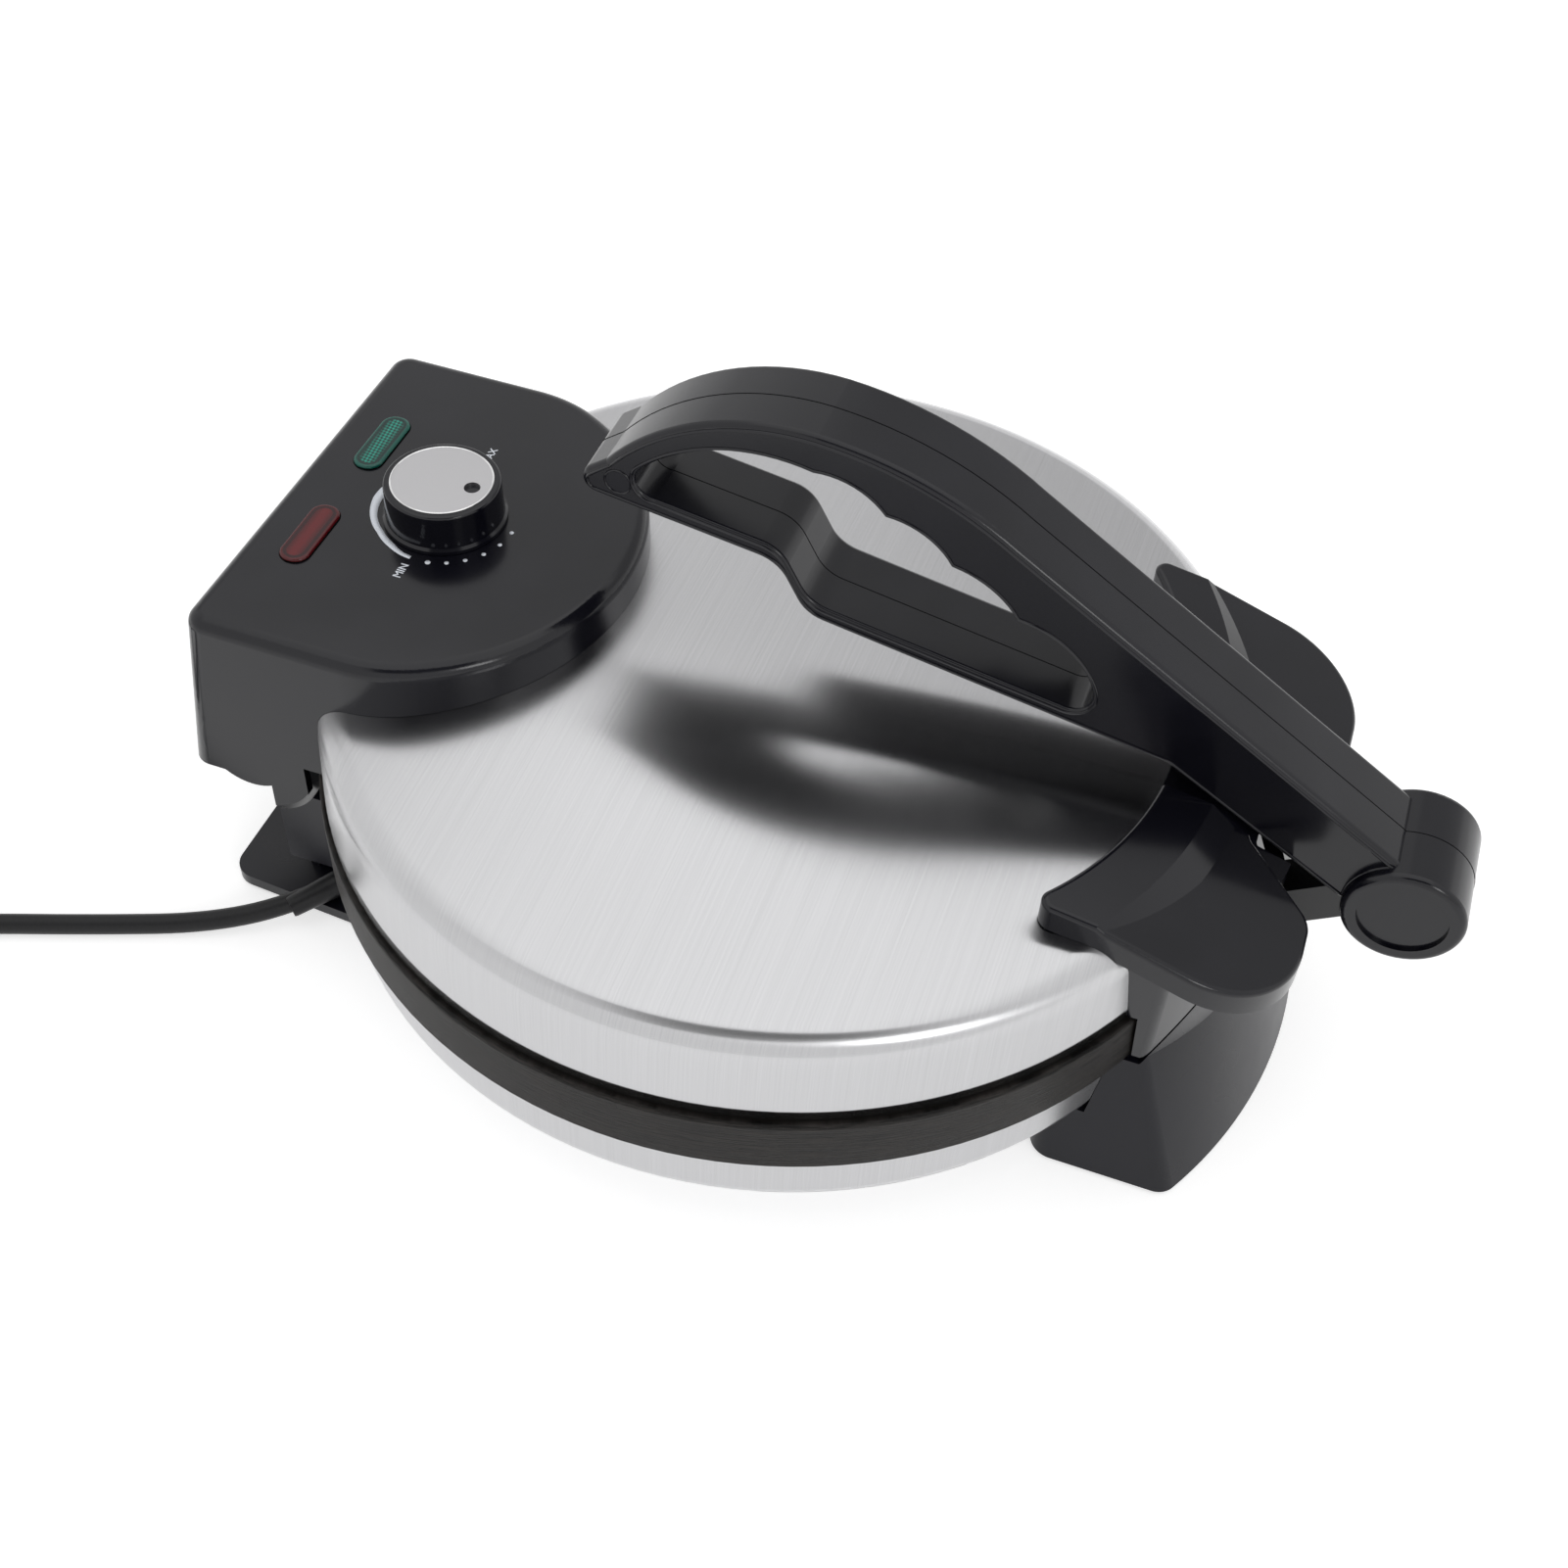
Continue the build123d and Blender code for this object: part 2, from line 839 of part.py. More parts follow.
def lamp_slot(x, size, low, high):
    """Oblong lens shape in the panel, size added all round."""
    with BuildPart(mode=Mode.PRIVATE) as solid:
        with BuildSketch(plan(low)):
            with Locations((x, lamp_back)):
                RectangleRounded(
                    lamp_length + 2 * size, lamp_width + 2 * size, (lamp_width / 2 + size) * 0.94
                )
        extrude(amount=high - low)
    return solid.part


ear_high = box_half + box_flare
ear_low = hinge_z - ear_skirt_radius - skin
lid_top = lid_solid(-seat, lid_bottom)
rim_swing = slab([(0, 0), (box_front, 0), (box_front, lid_bottom), (0, lid_bottom)], -far, far)


def ears():
    """Hinge ears below the box: its side walls carried on down round the hinge."""
    with BuildPart(mode=Mode.PRIVATE) as outline:
        with BuildSketch(side(-far)):
            with Locations(hinge_point):
                Circle(ear_skirt_radius)
            with Locations((hinge_back - ear_cut + far / 2, hinge_z)):
                Rectangle(far, far, mode=Mode.SUBTRACT)
            with Locations((hinge_back, hinge_z + far / 2)):
                Rectangle(far, far, mode=Mode.SUBTRACT)
            with Locations(hinge_point):
                Circle(ear_radius)
        extrude(amount=2 * far)
    with BuildPart(mode=Mode.PRIVATE) as solid:
        add(box_solid(0, ear_low))
        add(box_solid(skin, ear_low), mode=Mode.SUBTRACT)
        add(outline.part, mode=Mode.INTERSECT)
        add(slab([(0, 0), (far, 0), (far, far), (0, far)], -knuckle_outer, knuckle_outer), mode=Mode.SUBTRACT)
    return solid.part


with BuildPart() as control_housing:
    add(box_solid(0, box_bottom))
    fillet(faces().sort_by(Axis.Z)[-1].edges(), radius=box_edge)
    add(box_solid(skin, box_bottom), mode=Mode.SUBTRACT)
    add(ears())
    boss_length = ear_high - skin + boss_root - knuckle_outer - rest_gap
    for start in (knuckle_outer + rest_gap, -knuckle_outer - rest_gap - boss_length):
        add(rod(start, *hinge_point, knuckle_radius - boss_step, boss_length))
    add(lid_top, mode=Mode.SUBTRACT)
    add(rim_swing, mode=Mode.SUBTRACT)
    add(
        slab([(box_front, 0), (far, 0), (far, arch_top), (box_front, arch_top)], -arch_half, arch_half),
        mode=Mode.SUBTRACT,
    )
    for start in (knuckle_outer, -ear_inner):
        add(
            rod(start, *hinge_point, hinge_pin_radius + run_fit, ear_inner - knuckle_outer),
            mode=Mode.SUBTRACT,
        )
    for x in (-lamp_side, lamp_side):
        add(lamp_slot(x, seat, box_top - skin, box_top), mode=Mode.SUBTRACT)
    with BuildSketch(plan(box_top - skin)):
        with Locations((0, knob_back)):
            Circle(shaft_radius + run_fit)
    extrude(amount=skin, mode=Mode.SUBTRACT)
write(control_housing, "control_housing")


def lens(x):
    with BuildPart(mode=Mode.PRIVATE) as solid:
        add(lamp_slot(x, 0, box_top - skin, box_top + lamp_proud))
        fillet(faces().sort_by(Axis.Z)[-1].edges(), radius=lens_edge)
        add(lamp_slot(x, lens_flange, box_top - skin - lens_wall, box_top - skin))
        hollow_top = box_top + lamp_proud - lens_top
        add(lamp_slot(x, -lens_wall, box_top - skin - lens_wall, hollow_top), mode=Mode.SUBTRACT)
    return solid.part


with BuildPart() as red_lens:
    add(lens(-lamp_side))
write(red_lens, "red_lens")

with BuildPart() as green_lens:
    add(lens(lamp_side))
write(green_lens, "green_lens")

lamp_z = box_top + lamp_proud - lens_top - lamp_radius - rest_gap
with BuildPart() as neon_lamps:
    for x in (-lamp_side, lamp_side):
        add(rod(x - lamp_tube / 2, lamp_back, lamp_z, lamp_radius, lamp_tube))
write(neon_lamps, "neon_lamps")

thermostat_top = box_top - skin
thermostat_low = thermostat_top - collar_high - thermostat_deep
with BuildPart() as thermostat:
    with BuildSketch(plan(thermostat_top)):
        with Locations((0, knob_back)):
            Circle(thermostat_neck)
    extrude(amount=-collar_high)
    with BuildSketch(plan(thermostat_top - collar_high)):
        with Locations((0, knob_back)):
            RectangleRounded(2 * thermostat_half, 2 * thermostat_half, thermostat_corner)
    extrude(amount=-thermostat_deep)
    with BuildSketch(plan(thermostat_low)):
        with Locations((0, knob_back)):
            Circle(shaft_radius + run_fit)
    extrude(amount=thermostat_deep + collar_high, mode=Mode.SUBTRACT)
write(thermostat, "thermostat")

# ---- thermostat knob -------------------------------------------------------------------
knob_low = box_top + rest_gap
knob_top = knob_low + knob_height
with BuildPart() as knob_body:
    with BuildSketch(plan(knob_low)):
        with Locations((0, knob_back)):
            Circle(knob_skirt)
    extrude(amount=skirt_high)
    chamfer(faces().sort_by(Axis.Z)[-1].edges(), length=skirt_edge)
    with BuildSketch(plan(knob_low + skirt_high)):
        with Locations((0, knob_back)):
            Circle(knob_radius + (knob_height - skirt_high) * tan(radians(knob_draft)))
    extrude(amount=knob_height - skirt_high, taper=knob_draft)
    fillet(faces().sort_by(Axis.Z)[-1].edges(), radius=knob_edge)
    with BuildSketch(plan(knob_top - disc_deep)):
        with Locations((0, knob_back)):
            Circle(disc_radius)
    extrude(amount=disc_deep, mode=Mode.SUBTRACT)
    with BuildSketch(plan(knob_low)):
        with Locations((0, knob_back)):
            Circle(shaft_radius + press_fit)
    extrude(amount=shaft_grip, mode=Mode.SUBTRACT)
write(knob_body, "knob_body")

with BuildPart() as knob_disc:
    with BuildSketch(plan(knob_top - disc_deep)):
        with Locations((0, knob_back)):
            Circle(disc_radius - press_fit)
        with Locations((0, knob_back - dimple_out)):
            Circle(dimple_radius, mode=Mode.SUBTRACT)
    extrude(amount=disc_thick)
write(knob_disc, "knob_disc")

with BuildPart() as thermostat_shaft:
    with BuildSketch(plan(thermostat_low)):
        with Locations((0, knob_back)):
            Circle(shaft_radius)
    extrude(amount=knob_low + shaft_grip - thermostat_low)
write(thermostat_shaft, "thermostat_shaft")

# ---- lid: front bracket ----------------------------------------------------------------
def rear_top(y):
    """Height of the hood's rear deck, y in front of the plates' axis."""
    return hood_rear_z - hood_rear_slope * (y - hood_rear_back)


def lobe_top(y):
    """Height of the hood's front lobes, y in front of the plates' axis."""
    return hood_lobe_z - hood_lobe_slope * (y - hood_lobe_back)


# where the two sloping decks meet
deck_meet = (
    hood_lobe_z + hood_lobe_slope * hood_lobe_back - hood_rear_z - hood_rear_slope * hood_rear_back
) / (hood_lobe_slope - hood_rear_slope)


def hood_outline(inset):
    """Plan of the hood: concave rear edge on the dome, two rounded lobes and a notch."""
    half = hood_half - inset
    front = hood_front - inset
    notch = notch_half + inset
    notch_y = notch_back - inset
    rear = hood_rear_radius + inset
    rear_y = sqrt(rear**2 - half**2)
    with BuildSketch(plan(0), mode=Mode.PRIVATE) as outline:
        with BuildLine():
            ThreePointArc((-half, -rear_y), (0, -rear), (half, -rear_y))
            Polyline(
                (half, -rear_y),
                (half, -front),
                (lobe_inner + inset, -front),
                (notch, -notch_y),
                (-notch, -notch_y),
                (-lobe_inner - inset, -front),
                (-half, -front),
                (-half, -rear_y),
            )
        make_face()
        for sign in (-1, 1):
            fillet(corner_at(sign * half, -front), radius=hood_corner - inset)
            fillet(corner_at(sign * half, -rear_y), radius=hood_tail_corner - inset)
            fillet(corner_at(sign * (lobe_inner + inset), -front), radius=lobe_corner - inset)
            fillet(corner_at(sign * notch, -notch_y), radius=notch_corner + inset)
    return outline.sketch


def under_decks(drop, foot):
    """Upright band across the hood, from foot up to drop below its sloping decks."""
    return slab(
        [
            (0, rear_top(0) - drop),
            (-deck_meet, rear_top(deck_meet) - drop),
            (-far, lobe_top(far) - drop),
            (-far, lobe_top(far) - foot),
            (-deck_meet, rear_top(deck_meet) - foot),
            (0, rear_top(0) - foot),
        ],
        -far,
        far,
    )


def hood_slice(inset, drop, foot):
    """The hood's outline cut to the band between drop and foot below its decks."""
    with BuildPart(mode=Mode.PRIVATE) as solid:
        add(hood_outline(inset))
        extrude(amount=2 * lid_crown)
        add(under_decks(drop, foot), mode=Mode.INTERSECT)
    return solid.part


def hood_deck():
    """Raised rear deck of the hood, ending in a sloped step round the lid's axis."""
    middle = Vector(0, plate_y, rear_top(0))
    profile = Plane(origin=middle, x_dir=(1, 0, 0), z_dir=(0, -1, -hood_rear_slope))
    with BuildPart(mode=Mode.PRIVATE) as cap:
        with BuildSketch(profile):
            Polygon(
                (0, 0),
                (hood_step_start, 0),
                (hood_step_end, -hood_step_drop),
                (hood_step_end, -hood_rim),
                (0, -hood_rim),
                align=None,
            )
        revolve(axis=Axis(middle, (0, -hood_rear_slope, 1)))
    with BuildPart(mode=Mode.PRIVATE) as solid:
        add(hood_outline(0))
        extrude(amount=2 * lid_crown)
        add(cap.part, mode=Mode.INTERSECT)
    return solid.part


def hood_shell():
    """The whole hood, rounded along its top edge."""
    with BuildPart(mode=Mode.PRIVATE) as solid:
        add(hood_slice(0, 0, hood_rim))
        add(hood_deck())
        decks = [edge for face in faces() if face.normal_at().Z > 0.75 for edge in face.edges()]
        upright = [edge for face in faces() if abs(face.normal_at().Z) < 0.05 for edge in face.edges()]
        fillet([edge for edge in upright if any(edge.is_same(other) for other in decks)], radius=hood_edge)
    return solid.part


def lever_seat():
    """Shallow groove across the raised deck, in which the folded lever lies."""
    half = lever_width / 2 + seat_side
    brink = rear_top(hood_step_start) - seat_groove
    floor = [(0, rear_top(0) - seat_groove), (-hood_step_start, brink)]
    end = (-far, brink - seat_fall * (far - hood_step_start))
    return slab([*floor, end, (-far, far), (0, far)], -half, half)


apron = lid_radius + seat + skin
link_point = (-link_back, link_z)
barrel_point = (-pivot_forward, pivot_z)
lug_low = link_width / 2 + side_fit
link_pin_radius = pin_radius - 1
lug_points = [
    (-link_back + lug_head, link_z + lug_top),
    (-link_back + lug_brow, link_z + lug_shoulder),
    (-link_back - lug_waist, link_z + lug_foot),
    (-link_back - lug_radius, link_z),
    (-link_back + lug_waist, link_z),
    (-link_back + lug_head, link_z + lug_heel),
]
raised_split = [(y, z + split_gap) for y, z in split_line]
above_split = [(0, split_low + split_gap), *raised_split, (-far, far), (0, far)]


def under_hood(drop):
    """Everything lower than drop below the hood's sloping decks."""
    return slab(
        [
            (0, -far),
            (-far, -far),
            (-far, lobe_top(far) - drop),
            (-deck_meet, lobe_top(deck_meet) - drop),
            (0, rear_top(0) - drop),
        ],
        -far,
        far,
    )


def bracket_walls():
    """Side walls and bowed front of the bracket below the hood, with the apron."""
    with BuildPart(mode=Mode.PRIVATE) as solid:
        add(upper_body(0, split_low, body_high + bracket_up, front_inner))
        add(slab(above_split, -far, far), mode=Mode.INTERSECT)
        add(under_hood(wall_lap), mode=Mode.INTERSECT)
    with BuildPart(mode=Mode.PRIVATE) as room:
        add(upper_body(skin, split_low, body_high + bracket_up, front_inner + skin))
        add(disc(apron, link_z + apron_low, 2 * lid_crown), mode=Mode.SUBTRACT)
        add(under_hood(hood_roof), mode=Mode.INTERSECT)
    with BuildPart(mode=Mode.PRIVATE) as cut:
        with BuildSketch(plan(0)):
            with Locations((0, -apron - far / 2)):
                Rectangle(2 * notch_half, far)
        extrude(amount=2 * lid_crown)
    return solid.part - room.part - cut.part


def hood_hollow():
    """Space under the hood's overhang, outside the bracket's walls."""
    with BuildPart(mode=Mode.PRIVATE) as solid:
        add(hood_slice(skin, hood_roof, hood_rim + seat))
        add(disc(apron, 0, 2 * lid_crown), mode=Mode.SUBTRACT)
    return solid.part


with BuildPart() as front_bracket:
    add(hood_shell())
    add(lever_seat(), mode=Mode.SUBTRACT)
    add(hood_hollow(), mode=Mode.SUBTRACT)
    add(bracket_walls())
    for low in (lug_low, -lug_low - lug_thick):
        add(slab(lug_points, low, low + lug_thick))
        add(rod(low, *link_point, lug_radius, lug_thick))
    add(lid_solid(-seat, lid_bottom), mode=Mode.SUBTRACT)
    add(disc(rim_radius + 2 * side_fit + rest_gap, 0, lid_bottom), mode=Mode.SUBTRACT)
    add(rod(-far, *link_point, link_pin_radius + press_fit, 2 * far), mode=Mode.SUBTRACT)
write(front_bracket, "front_bracket")

with BuildPart() as link_pin:
    add(rod(-lug_low - lug_thick, *link_point, link_pin_radius, 2 * (lug_low + lug_thick)))
write(link_pin, "link_pin")

# ---- link ------------------------------------------------------------------------------
link_angle = degrees(atan2(pivot_z - link_z, link_back - pivot_forward))
link_length = hypot(pivot_forward - link_back, pivot_z - link_z)

with BuildPart() as link:
    with BuildSketch(side(-link_width / 2)):
        with Locations(link_point):
            Circle(link_eye)
        with Locations(barrel_point):
            Circle(barrel_eye)
        with Locations(((-link_back - pivot_forward) / 2, (link_z + pivot_z) / 2)):
            Rectangle(link_length, link_depth, rotation=link_angle)
        with Locations(link_point):
            Circle(link_pin_radius + run_fit, mode=Mode.SUBTRACT)
        with Locations(barrel_point):
            Circle(pin_radius + run_fit, mode=Mode.SUBTRACT)
    extrude(amount=link_width)
write(link, "link")


# ---- lever -----------------------------------------------------------------------------
def lev(ahead, up):
    """Point of the lever's profile, measured from its pivot."""
    return (-pivot_forward + ahead, pivot_z + up)


lever_low = lev(*arm_low)
lever_bend = lev(*arm_bend)


def hand_hole():
    """Hole for the fingers, with four scallops along its upper edge."""
    with BuildSketch(mode=Mode.PRIVATE) as hole:
        with BuildLine():
            for start, middle, end in zip(hole_arcs[::2], hole_arcs[1::2], hole_arcs[2::2]):
                ThreePointArc(lev(*start), lev(*middle), lev(*end))
            Polyline(lev(*hole_arcs[-1]), lev(*hole_low), lev(*hole_high), lev(*hole_end[0]))
            ThreePointArc(lev(*hole_end[0]), lev(*hole_end[1]), lev(*hole_arcs[0]))
        make_face()
        fillet(corner_at(*lev(*hole_low)), radius=step_round)
        fillet(corner_at(*lev(*hole_high)), radius=step_round)
    return hole.sketch


def lever_profile(x):
    """Side outline of the lever's arm and grip, with the hand hole cut out."""
    with BuildSketch(side(x), mode=Mode.PRIVATE) as outline:
        with BuildLine():
            Polyline(lev(*arm_root), lev(*arm_shoulder), lev(*grip_arcs[0]))
            for start, middle, end in zip(grip_arcs[::2], grip_arcs[1::2], grip_arcs[2::2]):
                ThreePointArc(lev(*start), lev(*middle), lev(*end))
            Polyline(lev(*grip_arcs[-1]), lev(*grip_tip), lev(*grip_step), lev(*arm_step), lever_bend)
            Polyline(lever_bend, lever_low, lev(*arm_foot), lev(*arm_root))
        make_face()
        fillet(corner_at(*lev(*grip_tip)), radius=tip_round)
        fillet(corner_at(*lev(*grip_step)), radius=step_round)
        fillet(corner_at(*lev(*arm_step)), radius=step_round)
        fillet(corner_at(*lever_bend), radius=bend_round)
        add(hand_hole(), mode=Mode.SUBTRACT)
    return outline.sketch


# pressing pad let into the lever's underside, where it meets the edge of the hood's deck
pad_back = hood_step_start
pad_run = Vector(lever_bend[0] - lever_low[0], lever_bend[1] - lever_low[1]).normalized()
pad_up = Vector(-pad_run.Y, pad_run.X)
pad_edge = Vector(-pad_back, lever_low[1] + (-pad_back - lever_low[0]) * pad_run.Y / pad_run.X)
pad_proud = (pad_edge.Y - rear_top(pad_back) + seat_groove) * pad_run.X - rest_gap


def pad_points(grow):
    """Corners of the pad's profile, grown all round for its recess."""
    corners = []
    for along, up in ((-1, -1), (1, -1), (1, 1), (-1, 1)):
        reach = pad_run * along * (pad_length / 2 + grow)
        rise = pad_up * (pad_thick + grow if up > 0 else -pad_proud)
        corner = pad_edge + reach + rise
        corners.append((corner.X, corner.Y))
    return corners


with BuildPart() as press_pad:
    add(slab(pad_points(0), -lever_width / 4, lever_width / 4))
write(press_pad, "press_pad")

# room inside the barrel for the link through the lever's whole swing
room_radius = barrel_eye + swing_gap
room_side = link_depth / 2 + swing_gap


def from_barrel(angle, along, across):
    """Point at a distance along and across a direction out of the barrel's axis."""
    turn = radians(angle)
    return (
        -pivot_forward + along * cos(turn) - across * sin(turn),
        pivot_z + along * sin(turn) + across * cos(turn),
    )


folded = link_angle - 180
opened = folded - lever_swing
barrel_room = [
    from_barrel(folded, 0, room_side),
    from_barrel(folded, room_reach, room_side),
    from_barrel(folded - room_turn, room_round, 0),
    from_barrel(folded - 3 * room_turn, room_round, 0),
    from_barrel(opened + room_turn, room_round, 0),
    from_barrel(opened, room_reach, -room_side),
    from_barrel(opened, 0, -room_side),
]
near_screws = [lev(*spot) for spot in near_spots]
far_screws = [lev(*spot) for spot in far_spots]
seat_x = lever_width / 2 - bore_deep


def lever_half(away):
    """One moulded half of the lever, split on the middle plane."""
    half = lever_width / 2
    reach = barrel_width / 2
    low = 0 if away else -lug_low
    outer = -1 if away else 0
    with BuildPart(mode=Mode.PRIVATE) as barrel:
        add(rod(0 if away else -reach, *barrel_point, barrel_radius, reach))
        fillet(edges().group_by(Axis.X)[outer], radius=barrel_edge)
    with BuildPart(mode=Mode.PRIVATE) as solid:
        add(lever_profile(0 if away else -half))
        extrude(amount=half, dir=(1, 0, 0))
        fillet(faces().sort_by(Axis.X)[outer].outer_wire().edges(), radius=lever_edge)
        fillet(faces().sort_by(Axis.X)[outer].inner_wires()[0].edges(), radius=hole_edge)
        add(barrel.part)
        add(rod(low, *barrel_point, room_radius, lug_low), mode=Mode.SUBTRACT)
        add(slab(barrel_room, low, low + lug_low), mode=Mode.SUBTRACT)
        add(rod(-reach, *barrel_point, pin_radius + press_fit, 2 * reach), mode=Mode.SUBTRACT)
        start = reach - cap_deep if away else -reach
        add(rod(start, *barrel_point, cap_radius + press_fit, cap_deep), mode=Mode.SUBTRACT)
        grown = lever_width / 4 + press_fit
        add(slab(pad_points(press_fit), -grown, grown), mode=Mode.SUBTRACT)
        for spot in near_screws:
            add(rod(-seat_x, *spot, screw_radius + press_fit, 2 * seat_x), mode=Mode.SUBTRACT)
        for spot in far_screws:
            add(rod(-seat_x, *spot, screw_radius + press_fit, 2 * seat_x), mode=Mode.SUBTRACT)
        for spot in far_screws if away else near_screws:
            start = seat_x if away else -half
            add(rod(start, *spot, bore_radius, bore_deep), mode=Mode.SUBTRACT)
    return solid.part


with BuildPart() as lever_near_half:
    add(lever_half(False))
write(lever_near_half, "lever_near_half")

with BuildPart() as lever_far_half:
    add(lever_half(True))
write(lever_far_half, "lever_far_half")

with BuildPart() as barrel_caps:
    for start in (barrel_width / 2 - cap_deep, cap_deep - cap_thick - barrel_width / 2):
        add(rod(start, *barrel_point, cap_radius, cap_thick))
write(barrel_caps, "barrel_caps")

with BuildPart() as lever_pin:
    add(rod(-barrel_width / 2 + cap_deep, *barrel_point, pin_radius, barrel_width - 2 * cap_deep))
write(lever_pin, "lever_pin")

with BuildPart() as lever_screws:
    for spot in near_screws:
        add(rod(-seat_x, *spot, screw_radius, 2 * seat_x - screw_bite))
        add(rod(-seat_x - head_thick, *spot, screw_head, head_thick))
    for spot in far_screws:
        add(rod(screw_bite - seat_x, *spot, screw_radius, 2 * seat_x - screw_bite))
        add(rod(seat_x, *spot, screw_head, head_thick))
write(lever_screws, "lever_screws")

plug_thick = bore_deep - head_thick - rest_gap
with BuildPart() as screw_plugs:
    for spot in near_screws:
        add(rod(-lever_width / 2, *spot, bore_radius - press_fit, plug_thick))
    for spot in far_screws:
        add(rod(lever_width / 2 - plug_thick, *spot, bore_radius - press_fit, plug_thick))
write(screw_plugs, "screw_plugs")

# ---- mains cord ------------------------------------------------------------------------
# the cord leaves the rear tower, lies down on the table and runs to a coil behind
coil_enter = Vector(-146, plate_y + 300, cord_z)
coil_heading = Vector(-0.32, 0.9474, 0).normalized()
coil_middle = coil_enter + Vector(coil_heading.Y, -coil_heading.X, 0) * coil_radius
stub_length = 30.0
cord_points = [
    Vector(-68, plate_y + gland_back, gland_z),
    Vector(-83, plate_y + 143.5, 9.5),
    Vector(-98, plate_y + 170, cord_z),
    Vector(-112.8, plate_y + 206, cord_z),
    coil_enter - coil_heading * (stub_length + 28),
    coil_enter - coil_heading * stub_length,
]


def bend_radii(points):
    """Bend radius at every inner point, from the shorter run and the turn there."""
    radii = []
    for before, here, after in zip(points, points[1:], points[2:]):
        one = here - before
        two = after - here
        radii.append(0.45 * min(one.length, two.length) / tan(radians(one.get_angle(two) / 2)))
    return radii


cord_radii = bend_radii(cord_points)
print("cord bend radii:", [round(value, 1) for value in cord_radii])

with BuildPart() as mains_cord:
    with BuildLine() as cord_line:
        FilletPolyline(*cord_points, radius=cord_radii)
    with BuildSketch(Plane(origin=cord_line.line @ 0, z_dir=cord_line.line % 0)):
        Circle(cord_radius)
    sweep()
cord_length = cord_line.wires()[0].length
section = pi * cord_radius**2
print("cord tube:", round(mains_cord.part.volume), "section by length:", round(section * cord_length))
write(mains_cord, "mains_cord")

gland_run = (cord_points[0] - cord_points[1]).normalized()
with BuildPart() as cord_gland:
    with BuildSketch(Plane(origin=cord_points[0], z_dir=gland_run)):
        Circle(gland_radius)
    extrude(amount=gland_long)
    with BuildSketch(Plane(origin=cord_points[0] + gland_run * gland_foot, z_dir=(0, 0, 1))):
        Rectangle(2 * cord_radius, 2 * clamp_radius * 2)
    extrude(amount=-(gland_z + gland_run.Z * gland_foot - foot_height - foot_plate))
write(cord_gland, "cord_gland")

with BuildPart() as terminal_block:
    with BuildSketch(plan(foot_height + foot_plate)):
        with Locations((0, block_back)):
            Rectangle(block_long, block_wide)
    extrude(amount=block_high)
    with BuildSketch(plan(foot_height + foot_plate + block_high)):
        with Locations((-clamp_pitch, block_back), (0, block_back), (clamp_pitch, block_back)):
            Circle(clamp_radius)
    extrude(amount=-clamp_deep, mode=Mode.SUBTRACT)
write(terminal_block, "terminal_block")

leave_angle = degrees(atan2(-coil_heading.X, coil_heading.Y)) + 90
leave = Vector(cos(radians(leave_angle)), sin(radians(leave_angle)), 0)
tilt = radians(plug_tilt)
plug_run = Vector(leave.Y * cos(tilt), -leave.X * cos(tilt), sin(tilt))
plug_z = plug_radius * cos(tilt) - (plug_neck + plug_taper) * sin(tilt) + seat
leave_point = Vector(coil_middle.X, coil_middle.Y, 0) + leave * coil_radius
leave_point = leave_point + Vector(0, 0, plug_z - leave_length * sin(tilt))
plug_start = leave_point + plug_run * leave_length

with BuildPart() as cord_coil:
    with BuildSketch(Plane(origin=(coil_middle.X, coil_middle.Y, 0), z_dir=(0, -1, 0), x_dir=(1, 0, 0))):
        with Locations((coil_radius, seat + coil_high / 2)):
            RectangleRounded(coil_wide, coil_high, 3.5)
    revolve(axis=Axis((coil_middle.X, coil_middle.Y, 0), (0, 0, 1)))
    with BuildSketch(Plane(origin=coil_enter - coil_heading * stub_length, z_dir=coil_heading)):
        Circle(cord_radius)
    extrude(amount=stub_length)
    with BuildSketch(Plane(origin=plug_start, z_dir=plug_run)):
        Circle(cord_radius)
    extrude(amount=-leave_length)
write(cord_coil, "cord_coil")

plug_plane = Plane(origin=plug_start, x_dir=(-plug_run.Y, plug_run.X, 0), z_dir=plug_run)
plug_length = plug_neck + plug_taper + plug_grip
plug_half = Plane(origin=plug_start, x_dir=plug_plane.x_dir, z_dir=plug_plane.y_dir)
with BuildPart() as plug_body:
    with BuildSketch(plug_half):
        with BuildLine():
            Polyline(
                (0, 0),
                (neck_radius, 0),
                (collar_radius, -plug_neck),
                (plug_step, -plug_neck),
                (plug_radius, -plug_neck - plug_taper),
                (plug_radius, -plug_length),
                (0, -plug_length),
                close=True,
            )
        make_face()
    revolve(axis=Axis(plug_start, plug_run))
write(plug_body, "plug_body")

with BuildPart() as plug_pins:
    with BuildSketch(plug_plane.offset(plug_length)):
        with Locations((-pin_spread / 2, 0), (pin_spread / 2, 0)):
            Circle(plug_pin_radius)
    extrude(amount=pin_length)
write(plug_pins, "plug_pins")
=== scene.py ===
import math

import bmesh
import bpy
from bpy.props import FloatProperty, FloatVectorProperty, IntProperty, PointerProperty
from mathutils import Matrix, Vector


